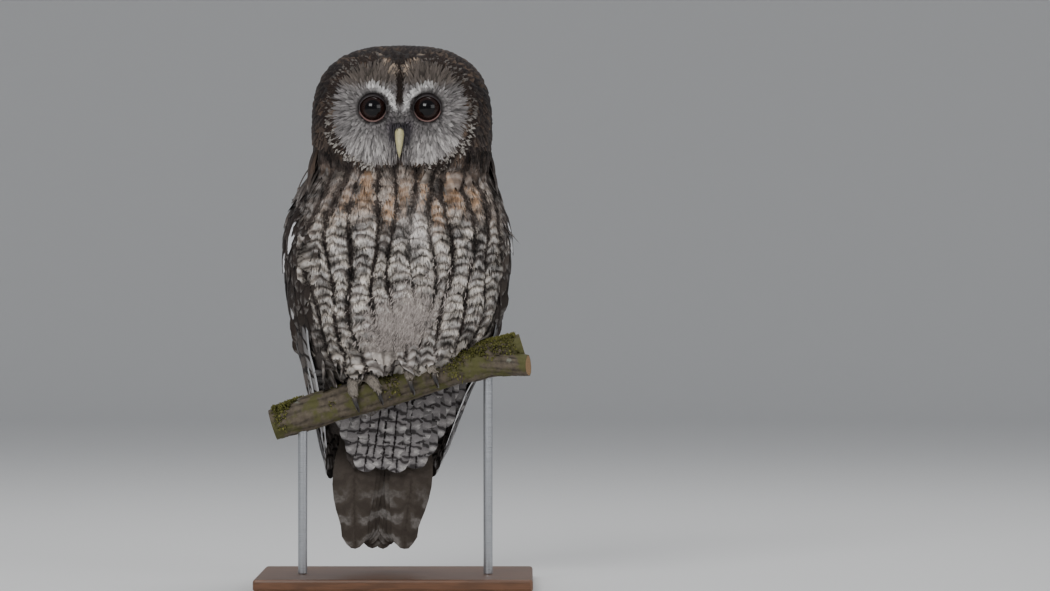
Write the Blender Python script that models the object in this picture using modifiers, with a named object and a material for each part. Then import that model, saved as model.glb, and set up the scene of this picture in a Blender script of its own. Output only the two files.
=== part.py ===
"""A tawny owl at life size, roosting upright on a cut length of branch, on a plain display stand.

Metres, +Z up. The origin is on the floor under the middle of the model. The owl looks along -Y, so its
own left side is at +X. The body is turned a little towards +X and the head is turned back to look
straight along -Y. Every solid holds the form out to the tips of the plumage.
"""

import math

import bmesh
import bpy
import numpy as np

MM = 0.001
GAP = 0.35 * MM
GROWTH = 0.6 * MM

# Overall heights, from the floor up.
BASE_WIDTH, BASE_DEPTH, BASE_HEIGHT = 210 * MM, 150 * MM, 9 * MM
TAIL_TIP_Z = 24 * MM
OWL_HEIGHT = 390 * MM
CROWN_Z = TAIL_TIP_Z + OWL_HEIGHT

# How the owl stands: the body's turn about +Z, and how far its line bends to either side.
BODY_TURN = math.radians(12)
HEAD_SHIFT = 4.6 * MM
TAIL_SWING = 7.5 * MM
SECTION_POWER = 2.3

# The plumage's outer form below the head: height, half width, half depth, middle in Y.
ENVELOPE = (
    (0.060, 0.0405, 0.0140, 0.0360),
    (0.090, 0.0455, 0.0165, 0.0345),
    (0.112, 0.0505, 0.0200, 0.0330),
    (0.130, 0.0560, 0.0235, 0.0310),
    (0.150, 0.0620, 0.0285, 0.0275),
    (0.166, 0.0680, 0.0430, 0.0145),
    (0.180, 0.0735, 0.0530, 0.0050),
    (0.200, 0.0800, 0.0600, 0.0000),
    (0.230, 0.0860, 0.0650, -0.0030),
    (0.262, 0.0880, 0.0660, -0.0030),
    (0.285, 0.0845, 0.0630, -0.0020),
    (0.303, 0.0765, 0.0580, -0.0010),
    (0.319, 0.0680, 0.0545, 0.0000),
    (0.335, 0.0670, 0.0530, 0.0010),
)
TRUNK_BOTTOM, TRUNK_TOP = 0.112, 0.292
TRUNK_INSET = 2 * MM
# How many columns of faces the body has on each side: over the breast, under the wing, over the back.
BODY_COLUMNS = (6, 9, 3)

# The head: a rounded block, flatter in front, with two shallow dishes round the eyes.
HEAD_Z = 0.349
HEAD_HALF_WIDTH = 70 * MM
HEAD_UP, HEAD_DOWN = CROWN_Z - HEAD_Z, 85 * MM
# How full the crown's corners are, seen from in front: 1 is a diamond's exponent, less is squarer.
HEAD_CORNER = 0.73
HEAD_FRONT, HEAD_BACK = 57 * MM, 55 * MM
FRONT_POWER, BACK_POWER = 2.9, 2.15
HEAD_BOTTOM = 0.316
FACE_PLANE_Y = -41 * MM
DISC_Z = 0.3605
DISC_LOBE_X, DISC_LOBE_HALF_WIDTH, DISC_LOBE_HALF_HEIGHT = 15.5 * MM, 36 * MM, 39 * MM
DISC_DEPTH, DISC_RIM, DISC_RIDGE = 8 * MM, 2.2 * MM, 8 * MM
EYE_X, EYE_Y, EYE_Z, EYE_RADIUS = 20.5 * MM, -41.2 * MM, 0.3635, 11.5 * MM

# The bill: an arc of this radius round a centre under the forehead.
BILL_CENTRE_Y, BILL_CENTRE_Z, BILL_ARC = -51 * MM, 0.332, 14.5 * MM
BILL_HALF_WIDTH, BILL_HALF_DEPTH = 5.6 * MM, 5.6 * MM
LOWER_BILL_ARC, LOWER_BILL_HALF_DEPTH = 8.2 * MM, 2.6 * MM

# The folded wing: height, and how far round from the breast its two edges lie, in degrees.
WING_EDGES = (
    (0.060, 86, 170),
    (0.110, 82, 172),
    (0.150, 78, 168),
    (0.185, 74, 162),
    (0.205, 66, 160),
    (0.230, 58, 155),
    (0.262, 55, 148),
    (0.280, 62, 140),
    (0.303, 78, 122),
)
WING_TOP, WING_TIP = 0.300, 0.070
COVERTS_END_FRONT, COVERTS_END_BACK = 0.196, 0.136
WING_THICK, QUILLS_THICK, EDGE_THICK = 8 * MM, 3.6 * MM, 1.4 * MM
QUILLS_INSET = 0.8 * MM
WING_ROOM = 1.2 * MM
WING_QUILLS = 7

# The tail: twelve long feathers in two hands, the middle pair on top.
TAIL_FEATHERS = 12
TAIL_BASE_Z = 0.165
TAIL_FRONT_Y, TAIL_LAYER = 28.5 * MM, 0.95 * MM
TAIL_FEATHER_HALF_WIDTH, TAIL_FEATHER_THICK = 17.5 * MM, 1.5 * MM
TAIL_MIDDLE_X, TAIL_OUTER_X = 5 * MM, 22.5 * MM

# The perch: its middle, how it rises towards +X, and its thickness.
PERCH_Y, PERCH_Z = -16 * MM, 0.152
PERCH_SLOPE = math.radians(17)
PERCH_RADIUS = 13 * MM
PERCH_LEFT, PERCH_RIGHT = -98 * MM, 102 * MM
FORK_START, FORK_RADIUS, FORK_LENGTH = 56 * MM, 9 * MM, 48 * MM
ROD_RADIUS, ROD_SINK = 3.5 * MM, 9 * MM
ROD_PLACES = (-74 * MM, 74 * MM)

# The feet: where each stands along the perch, and their toes.
FOOT_PLACE = 23 * MM
TOE_RADIUS, TOE_TIP_RADIUS = 5.2 * MM, 4.2 * MM
CLAW_RADIUS, CLAW_TIP_RADIUS = 2.3 * MM, 0.35 * MM
LEG_RADIUS, THIGH_RADIUS = 8.5 * MM, 14 * MM
# Each toe: its name, whether it points forward, and its place along the perch at its root and tip.
TOES = (
    ("inner", True, -5.8 * MM, -10.5 * MM),
    ("middle", True, 5.8 * MM, 8.5 * MM),
    ("hind", False, -5.8 * MM, -7.5 * MM),
    ("outer", False, 5.8 * MM, 12.5 * MM),
)


# ---------------------------------------------------------------- tables and curves


def smooth_step(value, low, high):
    """0 below low, 1 above high, and an even curve between them."""
    t = np.clip((value - low) / (high - low), 0, 1)
    return t * t * (3 - 2 * t)


def from_table(table, height, column):
    """A table's column at a height, along a curve through its rows whose slopes come from their neighbours."""
    rows = np.array(table, float)
    heights, values = rows[:, 0], rows[:, column]
    slopes = np.gradient(values, heights)
    height = np.clip(height, heights[0], heights[-1])
    i = np.clip(np.searchsorted(heights, height) - 1, 0, len(heights) - 2)
    span = heights[i + 1] - heights[i]
    t = (height - heights[i]) / span
    return (
        (1 + 2 * t) * (1 - t) ** 2 * values[i]
        + t * (1 - t) ** 2 * span * slopes[i]
        + t * t * (3 - 2 * t) * values[i + 1]
        + t * t * (t - 1) * span * slopes[i + 1]
    )


def signed_power(value, power):
    return np.sign(value) * np.abs(value) ** power


def axis_shift(z):
    """How far the owl's middle line lies from X = 0: the head to one side, the tail to the other."""
    head = HEAD_SHIFT * smooth_step(z, 0.262, 0.345)
    tail = TAIL_SWING * (1 - smooth_step(z, TAIL_TIP_Z, 0.165))
    return head - tail


def turned(x, y, z):
    """Points of the body's own frame, in which it faces -Y, as an array in the model's frame."""
    c, s = math.cos(BODY_TURN), math.sin(BODY_TURN)
    x, y, z = np.broadcast_arrays(x, y, z)
    return np.stack([c * x - s * y + axis_shift(z), s * x + c * y, z], -1)


def body_point(angle, z, inset=0.0):
    """A point of the plumage's outer form. The angle is 0 at the breast, 90 degrees at the owl's left."""
    half_width = from_table(ENVELOPE, z, 1) - inset
    half_depth = from_table(ENVELOPE, z, 2) - inset
    power = 2 / SECTION_POWER
    x = half_width * signed_power(np.sin(angle), power)
    y = from_table(ENVELOPE, z, 3) - half_depth * signed_power(np.cos(angle), power)
    return turned(x, y, z)


# ---------------------------------------------------------------- objects


def clear_scene():
    for obj in list(bpy.data.objects):
        bpy.data.objects.remove(obj)


def new_collection(name):
    collection = bpy.data.collections.new(name)
    bpy.context.scene.collection.children.link(collection)
    return collection


def make_materials():
    """One Principled material for each finish: colour, roughness, metallic."""
    finishes = {
        "plumage": ((0.16, 0.14, 0.12), 0.9, 0.0),
        "facial_disc": ((0.21, 0.20, 0.19), 0.9, 0.0),
        "flight_feathers": ((0.13, 0.11, 0.09), 0.8, 0.0),
        "eye": ((0.012, 0.007, 0.006), 0.08, 0.0),
        "bill": ((0.42, 0.38, 0.22), 0.4, 0.0),
        "claw": ((0.035, 0.03, 0.028), 0.35, 0.0),
        "bark": ((0.11, 0.095, 0.07), 0.95, 0.0),
        "stand_wood": ((0.14, 0.075, 0.04), 0.5, 0.0),
        "stand_steel": ((0.5, 0.5, 0.5), 0.35, 1.0),
    }
    for name, (colour, roughness, metallic) in finishes.items():
        material = bpy.data.materials.new(name)
        material.use_nodes = True
        shader = material.node_tree.nodes["Principled BSDF"]
        shader.inputs["Base Color"].default_value = (*colour, 1)
        shader.inputs["Roughness"].default_value = roughness
        shader.inputs["Metallic"].default_value = metallic


def add_object(name, mesh, material, helper=False):
    """Links a mesh as a part, or as a wire helper that is never rendered."""
    obj = bpy.data.objects.new(name, mesh)
    (helpers if helper else owl).objects.link(obj)
    obj.hide_render = helper
    obj.display_type = "WIRE" if helper else "TEXTURED"
    mesh.materials.clear()
    mesh.materials.append(bpy.data.materials[material])
    mesh.shade_smooth()
    mesh.set_sharp_from_angle(angle=math.radians(40))
    return obj


def move_to_owl(obj):
    """Takes an object out of whatever collection it was made in and makes it a part."""
    for collection in list(obj.users_collection):
        collection.objects.unlink(obj)
    owl.objects.link(obj)


def loft(name, rings, material, helper=False, poles=()):
    """A closed solid through rings of equally many points, flat at its ends or drawn in to two poles."""
    rings = np.asarray(rings)
    sides = rings.shape[1]
    bm = bmesh.new()
    verts = [[bm.verts.new(p) for p in ring] for ring in rings]
    around = [(i, (i + 1) % sides) for i in range(sides)]
    for low, high in zip(verts, verts[1:]):
        for i, j in around:
            bm.faces.new((low[i], low[j], high[j], high[i]))
    for ring, pole in zip((verts[0], verts[-1]), poles):
        tip = bm.verts.new(pole)
        for i, j in around:
            bm.faces.new((ring[i], ring[j], tip))
    if not poles:
        bm.faces.new(verts[0])
        bm.faces.new(verts[-1])
    bmesh.ops.recalc_face_normals(bm, faces=bm.faces)
    mesh = bpy.data.meshes.new(name)
    bm.to_mesh(mesh)
    bm.free()
    return add_object(name, mesh, material, helper)


def slab(name, outer, inner, material, helper=False):
    """A closed solid between two grids of points of one size, walled all round their edges."""
    rows, columns = outer.shape[:2]
    bm = bmesh.new()
    sheets = [[[bm.verts.new(p) for p in row] for row in grid] for grid in (outer, inner)]
    for sheet in sheets:
        for i in range(rows - 1):
            for j in range(columns - 1):
                bm.faces.new((sheet[i][j], sheet[i][j + 1], sheet[i + 1][j + 1], sheet[i + 1][j]))
    rim = [(0, j) for j in range(columns)] + [(i, columns - 1) for i in range(1, rows)]
    rim += [(rows - 1, j) for j in range(columns - 2, -1, -1)] + [(i, 0) for i in range(rows - 2, 0, -1)]
    for (a, b), (c, d) in zip(rim, rim[1:] + rim[:1]):
        bm.faces.new((sheets[0][a][b], sheets[0][c][d], sheets[1][c][d], sheets[1][a][b]))
    bmesh.ops.recalc_face_normals(bm, faces=bm.faces)
    mesh = bpy.data.meshes.new(name)
    bm.to_mesh(mesh)
    bm.free()
    return add_object(name, mesh, material, helper)


def tube(name, points, radii, material, resolution=2, helper=False):
    """A tapered rod along a line of points, as a bevelled curve made a mesh with welded caps."""
    curve = bpy.data.curves.new(name, "CURVE")
    curve.dimensions = "3D"
    curve.bevel_depth = 1.0
    curve.bevel_resolution = resolution
    curve.use_fill_caps = True
    spline = curve.splines.new("POLY")
    spline.points.add(len(points) - 1)
    for point, place, radius in zip(spline.points, points, radii):
        point.co = (*place, 1)
        point.radius = radius
    guide = bpy.data.objects.new(name + "_guide", curve)
    bpy.context.scene.collection.objects.link(guide)
    graph = bpy.context.evaluated_depsgraph_get()
    mesh = bpy.data.meshes.new_from_object(guide.evaluated_get(graph))
    bpy.data.objects.remove(guide)
    bm = bmesh.new()
    bm.from_mesh(mesh)
    bmesh.ops.remove_doubles(bm, verts=bm.verts, dist=0.02 * MM)
    bmesh.ops.recalc_face_normals(bm, faces=bm.faces)
    bm.to_mesh(mesh)
    bm.free()
    mesh.name = name
    return add_object(name, mesh, material, helper)


def evaluated_mesh(obj):
    graph = bpy.context.evaluated_depsgraph_get()
    return bpy.data.meshes.new_from_object(obj.evaluated_get(graph))


def boolean(obj, operation, other):
    modifier = obj.modifiers.new(operation.lower() + "_" + other.name, "BOOLEAN")
    modifier.operation = operation
    modifier.solver = "EXACT"
    modifier.object = other


def grown(obj, growth=GROWTH):
    """A helper a little larger than a part, which cuts that part's place, with its gap, into a neighbour."""
    mesh = evaluated_mesh(obj)
    bm = bmesh.new()
    bm.from_mesh(mesh)
    bmesh.ops.triangulate(bm, faces=bm.faces)
    bm.normal_update()
    for vert, normal in [(v, v.normal.copy()) for v in bm.verts]:
        vert.co += normal * growth
    bm.to_mesh(mesh)
    bm.free()
    return add_object(obj.name + "_place", mesh, "plumage", helper=True)


def cut_by(parts, *neighbours):
    """Cuts the place of each neighbour out of each part."""
    for neighbour in neighbours:
        place = grown(neighbour)
        for part in parts:
            boolean(part, "DIFFERENCE", place)


# ---------------------------------------------------------------- the body


def wing_thickness(across, thickest):
    """The folded wing's thickness from its front edge (0) to its back edge (1)."""
    return EDGE_THICK + (thickest - EDGE_THICK) * np.sqrt(np.clip(4 * across * (1 - across), 0, 1))


def shoulder_line(across):
    """The rounded top edge of the folded wing."""
    return WING_TOP - 26 * MM * np.abs(2 * across - 1) ** 2.5


def body_ring(z):
    """A ring of the body at one height, with the room that each folded wing takes from it."""
    front, back = (math.radians(from_table(WING_EDGES, z, k)) for k in (1, 2))
    marks = (0, front, back, math.pi)
    angles, insets = [], []
    for part, (columns, low, high) in enumerate(zip(BODY_COLUMNS, marks, marks[1:])):
        across = np.arange(columns) / columns
        angles.extend(low + (high - low) * across)
        inset = np.full(columns, TRUNK_INSET)
        if part == 1:
            thickest = QUILLS_THICK + (WING_THICK - QUILLS_THICK) * smooth_step(z, 0.115, 0.14)
            under = 1 - smooth_step(z, shoulder_line(across) + 2 * MM, shoulder_line(across) + 12 * MM)
            room = wing_thickness(across, thickest) + QUILLS_INSET + WING_ROOM
            inset = inset + (room - TRUNK_INSET) * under
        if part == 2:
            inset[0] = QUILLS_INSET + EDGE_THICK + WING_ROOM
        insets.extend(inset)
    angles, insets = np.array([*angles, math.pi]), np.array([*insets, TRUNK_INSET])
    right = slice(-2, 0, -1)
    return body_point(np.r_[angles, -angles[right]], z, np.r_[insets, insets[right]])


def make_trunk():
    heights = np.r_[np.linspace(TRUNK_BOTTOM, 0.18, 6), np.linspace(0.18, TRUNK_TOP, 9)[1:]]
    return loft("trunk", [body_ring(z) for z in heights], "plumage")


def make_neck():
    heights = np.linspace(TRUNK_TOP + GAP, HEAD_BOTTOM - GAP, 4)
    return loft("neck", [body_ring(z) for z in heights], "plumage")


def make_tail_coverts(name, height, against, reach, half_width):
    """The short feathers on the tail's base, from the flat side against it out, thinning downwards."""
    rings = []
    angles = np.linspace(0, 2 * math.pi, 14, endpoint=False)
    for t in np.linspace(0, 1, 4):
        half_depth = reach / 2 * (1 - 0.75 * t)
        x = (half_width - 10 * MM * t * t) * signed_power(np.sin(angles), 0.8)
        y = against + half_depth * (1 + signed_power(np.cos(angles), 0.8))
        rings.append(turned(x, y, np.full_like(x, TRUNK_BOTTOM - GAP - t * height)))
    return loft(name, rings, "plumage")


# ---------------------------------------------------------------- the head


def disc_share(x, z):
    """How far out in the facial disc a point lies: 0 in the middle of its half, 1 on the rim."""
    return np.hypot(
        (np.abs(x) - DISC_LOBE_X) / DISC_LOBE_HALF_WIDTH, (z + HEAD_Z - DISC_Z) / DISC_LOBE_HALF_HEIGHT
    )


def head_point(spread, around, front=True):
    """A point of the head's front or back. The spread is 0 on its middle line and 1 where the two meet."""
    power = FRONT_POWER if front else BACK_POWER
    corner = np.where(np.sin(around) > 0, HEAD_CORNER, 0.9)
    x = HEAD_HALF_WIDTH * spread * signed_power(np.cos(around), corner)
    height = np.where(np.sin(around) > 0, HEAD_UP, HEAD_DOWN)
    z = height * spread * signed_power(np.sin(around), corner)
    reach = (1 - spread**power) ** (1 / power)
    if not front:
        return np.stack([x + HEAD_SHIFT, HEAD_BACK * reach, z + HEAD_Z], -1)
    share = disc_share(x, z)
    beside_ridge = 1 - np.exp(-((x / DISC_RIDGE) ** 2))
    dish = DISC_DEPTH * np.clip(1 - share**2, 0, 1) * beside_ridge
    rim = DISC_RIM * np.exp(-(((share - 1) / 0.14) ** 2))
    return np.stack([x + HEAD_SHIFT, dish - rim - HEAD_FRONT * reach, z + HEAD_Z], -1)


def cutting_box(name, low, high):
    """A helper box between two corners."""
    bm = bmesh.new()
    bmesh.ops.create_cube(bm, size=1)
    middle, size = (np.array(low) + high) / 2, np.array(high) - low
    for vert in bm.verts:
        vert.co = middle + size * np.array(vert.co)
    mesh = bpy.data.meshes.new(name)
    bm.to_mesh(mesh)
    bm.free()
    return add_object(name, mesh, "plumage", helper=True)


def make_head():
    """The whole head is one form, parted by a thin flat cut into the facial disc and what lies behind it."""
    around = np.linspace(0, 2 * math.pi, 32, endpoint=False)
    fronts = (0.1, 0.22, 0.35, 0.48, 0.6, 0.7, 0.79, 0.88, 0.96)
    backs = (1, 0.97, 0.88, 0.74, 0.56, 0.34)
    rings = [head_point(np.full_like(around, s), around) for s in fronts]
    rings += [head_point(np.full_like(around, s), around, front=False) for s in backs]
    poles = [head_point(0.0, 0.0, front) for front in (True, False)]
    far, half = 0.2, GAP / 2
    boxes = {
        "head": ((-far, FACE_PLANE_Y + half, HEAD_BOTTOM), (far, far, 1)),
        "facial_disc": ((-far, -far, HEAD_BOTTOM), (far, FACE_PLANE_Y - half, 1)),
    }
    parts = []
    for name, (low, high) in boxes.items():
        part = loft(name, rings, "plumage" if name == "head" else "facial_disc", poles=poles)
        boolean(part, "INTERSECT", cutting_box(name + "_box", low, high))
        parts.append(part)
    return parts


def make_eye(name, side):
    bm = bmesh.new()
    bmesh.ops.create_uvsphere(bm, u_segments=14, v_segments=9, radius=EYE_RADIUS)
    bmesh.ops.translate(bm, verts=bm.verts, vec=(HEAD_SHIFT + side * EYE_X, EYE_Y, EYE_Z))
    mesh = bpy.data.meshes.new(name)
    bm.to_mesh(mesh)
    bm.free()
    return add_object(name, mesh, "eye")


def bill_rings(arc, start, end, half_width, half_depth, count):
    """Oval rings along an arc from under the forehead to the tip, closing to a hooked point."""
    rings = []
    around = np.linspace(0, 2 * math.pi, 10, endpoint=False)
    for t in np.linspace(0, 1, count):
        angle = math.radians(start + (end - start) * t)
        taper = max(1 - t**2.2, 0.07)
        x = half_width * taper * np.cos(around)
        reach = arc + half_depth * taper * np.sin(around)
        y = BILL_CENTRE_Y - reach * math.cos(angle)
        z = BILL_CENTRE_Z + reach * math.sin(angle)
        rings.append(np.stack([x + HEAD_SHIFT, y, z], -1))
    return rings


def make_bill(disc):
    """The upper bill and the lower one under it, both trimmed where they meet the facial disc."""
    upper = loft(
        "bill_upper", bill_rings(BILL_ARC, 84, -22, BILL_HALF_WIDTH, BILL_HALF_DEPTH, 8), "bill"
    )
    lower = loft(
        "bill_lower", bill_rings(LOWER_BILL_ARC, 60, -14, 0.75 * BILL_HALF_WIDTH, LOWER_BILL_HALF_DEPTH, 5), "bill"
    )
    cut_by([lower], upper)
    cut_by([upper, lower], disc)


# ---------------------------------------------------------------- wings and tail


def wing_grids(side, bottom, top, thickness, inset, rows, columns):
    """The outer and inner grids of a patch of folded wing between two heights, which vary across it.

    It wraps the body from the front edge to the back edge and thins towards all of its edges.
    """
    across = np.linspace(0, 1, columns)[None, :]
    down = np.linspace(0, 1, rows)[:, None]
    z = bottom(across) + (top(across) - bottom(across)) * down
    front, back = (np.radians(from_table(WING_EDGES, z, k)) for k in (1, 2))
    angle = side * (front + (back - front) * across)
    ends = np.sqrt(np.clip(6 * (1 - down) + 0.03, 0, 1)) * np.clip(0.35 + 2 * down, 0, 1)
    thick = EDGE_THICK + (wing_thickness(across, thickness) - EDGE_THICK) * ends
    return body_point(angle, z, inset), body_point(angle, z, inset + thick)


def coverts_end(across):
    """The slanting lower edge of the coverts."""
    return COVERTS_END_FRONT + (COVERTS_END_BACK - COVERTS_END_FRONT) * across**0.8


def quills_start(across):
    return coverts_end(across) - 2 * GAP


def quill_tips(across):
    """The tips of the long feathers: they step down from both edges to the longest, each end rounded."""
    step = np.minimum(np.floor(across * WING_QUILLS), WING_QUILLS - 1)
    short = np.abs(step / (WING_QUILLS - 1) - 0.4) * 62 * MM
    within = across * WING_QUILLS - step
    return WING_TIP + short + 5 * MM * (2 * within - 1) ** 2


def make_wing(name, side):
    """One folded wing: the shoulder and coverts, and the long feathers that come out under them."""
    columns = BODY_COLUMNS[1] + 1
    grids = wing_grids(side, coverts_end, shoulder_line, WING_THICK, 0, 9, columns)
    slab("wing_" + name, *grids, "plumage")
    columns = 3 * WING_QUILLS + 1
    grids = wing_grids(side, quill_tips, quills_start, QUILLS_THICK, QUILLS_INSET, 5, columns)
    slab("wing_quills_" + name, *grids, "flight_feathers")


def tail_feather(index):
    """One long feather as a thin lens in section, slightly cupped, with a round tip."""
    side = 1 if index % 2 else -1
    place = (index // 2) / (TAIL_FEATHERS // 2 - 1)
    tip_x = side * (TAIL_OUTER_X + (TAIL_MIDDLE_X - TAIL_OUTER_X) * place)
    middle_y = TAIL_FRONT_Y + index * TAIL_LAYER
    base_z = TAIL_BASE_Z - index * 0.7 * MM
    tip_z = TAIL_TIP_Z + (1 - place) * 3.8 * MM + (0.9 * MM if side < 0 else 0)
    rings = []
    across = np.array([-1, -0.45, 0.45, 1, 0.45, -0.45])
    face = np.array([0, -1, -1, 0, 1, 1])
    for t in (0, 0.5, 0.68, 0.84, 0.93, 0.98, 1):
        z = base_z + (tip_z - base_z) * t
        rounding = math.sqrt(max(1 - (max(t - 0.84, 0) / 0.165) ** 2, 0.08))
        half_width = TAIL_FEATHER_HALF_WIDTH * (0.72 + 0.28 * smooth_step(t, 0.1, 0.6)) * rounding
        gathered = (0.7 + 0.3 * smooth_step(t, 0.1, 0.6)) * (1 - 0.45 * smooth_step(t, 0.6, 1))
        x = tip_x * gathered + half_width * across
        y = middle_y + face * TAIL_FEATHER_THICK / 2 + 1.5 * MM * across**2
        rings.append(turned(x, y, np.full_like(x, z)))
    return rings


def make_tail():
    """The twelve feathers joined into one solid, each a layer behind the one before it."""
    tail = loft("tail", tail_feather(0), "flight_feathers")
    for index in range(1, TAIL_FEATHERS):
        feather = loft(f"tail_feather_{index}", tail_feather(index), "flight_feathers", helper=True)
        boolean(tail, "UNION", feather)
    return tail


# ---------------------------------------------------------------- the perch and the feet


def perch_point(along, around=0.0, reach=0.0):
    """A point near the perch: along its middle, round it from straight ahead (-Y) over the top, and out."""
    x = along * math.cos(PERCH_SLOPE) - reach * np.sin(around) * math.sin(PERCH_SLOPE)
    z = PERCH_Z + along * math.sin(PERCH_SLOPE) + reach * np.sin(around) * math.cos(PERCH_SLOPE)
    return np.stack(np.broadcast_arrays(x, PERCH_Y - reach * np.cos(around), z), -1)


def perch_radius(along, around):
    """The bark swells and wanders a little away from the feet, where it is even."""
    away = smooth_step(np.abs(along), 42 * MM, 62 * MM)
    lumps = np.sin(95 * along + 1.3) * 0.6 + np.sin(3 * around + 60 * along) * 0.4
    return PERCH_RADIUS * (1 + 0.13 * away * lumps)


def make_perch():
    """The branch, with the stub of a side branch that leaves it nearly level, both sawn off."""
    around = np.linspace(0, 2 * math.pi, 12, endpoint=False)
    rings = [
        perch_point(along, around, perch_radius(along, around))
        for along in np.linspace(PERCH_LEFT, PERCH_RIGHT, 13)
    ]
    perch = loft("perch", rings, "bark")
    start = perch_point(FORK_START)
    shares = np.linspace(0, 1, 5)
    path = [start + s * FORK_LENGTH * np.array([1, -0.28, 0.10 - 0.1 * s]) for s in shares]
    stub = tube("fork_stub", path, FORK_RADIUS * (1.15 - 0.2 * shares), "bark", helper=True)
    boolean(perch, "UNION", stub)
    return perch


def make_foot_room():
    """A helper that clears the belly from the perch, and from the toes round the middle of it."""
    around = np.linspace(0, 2 * math.pi, 16, endpoint=False)
    rooms = ((-110, 16.5), (-52, 16.5), (-46, 25), (46, 25), (52, 16.5), (110, 16.5))
    rings = [perch_point(along * MM, around, np.full(16, radius * MM)) for along, radius in rooms]
    return loft("foot_room", rings, "bark", helper=True)


def make_tail_room():
    """A helper that clears the rear of the body from the tail's base."""
    around = np.linspace(0, 2 * math.pi, 12, endpoint=False)
    rings = []
    for z, half_width in ((0.105, 41 * MM), (0.17, 33 * MM)):
        x = half_width * signed_power(np.cos(around), 0.7)
        y = 34.6 * MM + 8.6 * MM * signed_power(np.sin(around), 0.7)
        rings.append(turned(x, y, np.full_like(x, z)))
    return loft("tail_room", rings, "plumage", helper=True)


def make_foot(name, side):
    """A feathered leg, four feathered toes round the perch, and a claw on each."""
    ankle = perch_point(side * FOOT_PLACE, math.pi / 2, PERCH_RADIUS + GAP + LEG_RADIUS)
    knee = ankle + np.array([side * 4 * MM, 6 * MM, 34 * MM])
    shares = np.linspace(0, 1, 5)[:, None]
    radii = LEG_RADIUS + (THIGH_RADIUS - LEG_RADIUS) * shares[:, 0] ** 1.5
    leg = tube("leg_" + name, ankle + (knee - ankle) * shares, radii, "plumage")
    toes = []
    for toe, forward, root, tip in TOES:
        toe_angles = np.radians(np.linspace(62, 8, 5) if forward else np.linspace(118, 166, 5))
        claw_angles = np.radians(np.linspace(3.5, -44, 6) if forward else np.linspace(170.5, 216, 6))
        share = np.linspace(0, 1, 5)
        radii = TOE_RADIUS + (TOE_TIP_RADIUS - TOE_RADIUS) * share
        along = side * (FOOT_PLACE + root + (tip - root) * share)
        places = perch_point(along, toe_angles, PERCH_RADIUS + GAP + radii)
        toes.append(tube(f"toe_{toe}_{name}", places, radii, "plumage"))
        share = np.linspace(0, 1, 6)
        radii = CLAW_RADIUS + (CLAW_TIP_RADIUS - CLAW_RADIUS) * share
        lift = (TOE_TIP_RADIUS - CLAW_RADIUS) * (1 - share) + 1.5 * MM * np.sin(math.pi * share)
        places = perch_point(side * (FOOT_PLACE + tip), claw_angles, PERCH_RADIUS + GAP + radii + lift)
        tube(f"claw_{toe}_{name}", places, radii, "claw", resolution=1)
    cut_by(toes, leg)
    return leg


# ---------------------------------------------------------------- the stand


def make_stand(perch):
    """A flat base with rounded edges, and two rods that go a little way up into the perch."""
    bpy.ops.mesh.primitive_cube_add(size=1, location=(0, 0, BASE_HEIGHT / 2))
    base = bpy.context.object
    base.name = base.data.name = "stand_base"
    base.data.transform(np.diag([BASE_WIDTH, BASE_DEPTH, BASE_HEIGHT, 1]).tolist())
    base.data.materials.append(bpy.data.materials["stand_wood"])
    bevel = base.modifiers.new("rounded_edges", "BEVEL")
    bevel.width, bevel.segments = 2 * MM, 2
    move_to_owl(base)
    for name, along in zip(("right", "left"), ROD_PLACES):
        foot = perch_point(along)
        bottom = BASE_HEIGHT + GAP
        top = foot[2] - PERCH_RADIUS + ROD_SINK
        bpy.ops.mesh.primitive_cylinder_add(
            vertices=16,
            radius=ROD_RADIUS,
            depth=top - bottom,
            location=(foot[0], foot[1], (top + bottom) / 2),
        )
        rod = bpy.context.object
        rod.name = rod.data.name = "stand_rod_" + name
        rod.data.materials.append(bpy.data.materials["stand_steel"])
        rod.data.shade_smooth()
        rod.data.set_sharp_from_angle(angle=math.radians(40))
        bevel = rod.modifiers.new("eased_ends", "BEVEL")
        bevel.width, bevel.segments = 0.4 * MM, 1
        bevel.limit_method = "ANGLE"
        move_to_owl(rod)
        bpy.context.view_layer.update()
        hole = grown(rod)
        hole.location = rod.location
        boolean(perch, "DIFFERENCE", hole)


def main():
    make_materials()
    make_tail()
    make_tail_coverts("undertail", 26 * MM, TAIL_FRONT_Y - 1.2 * MM, -14 * MM, 38 * MM)
    make_tail_coverts("uppertail", 18 * MM, TAIL_FRONT_Y + 13.6 * MM, 4.4 * MM, 28 * MM)
    trunk = make_trunk()
    make_neck()
    for name, side in (("left", 1), ("right", -1)):
        make_wing(name, side)

    head, disc = make_head()
    make_bill(disc)
    cut_by([disc, head], make_eye("eye_left", 1), make_eye("eye_right", -1))

    perch = make_perch()
    boolean(trunk, "DIFFERENCE", make_tail_room())
    boolean(trunk, "DIFFERENCE", make_foot_room())
    for name, side in (("left", 1), ("right", -1)):
        cut_by([trunk], make_foot(name, side))
    make_stand(perch)


clear_scene()
owl = new_collection("tawny_owl")
helpers = new_collection("helpers")
main()
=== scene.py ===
"""Dresses the tawny owl: skin, feathers, eyes, bill, claws, mossy perch, display stand and a plain studio.

Metres, +Z up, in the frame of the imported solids. The owl looks along -Y, so its own left side is at +X.
"""

import functools
import math

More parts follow.
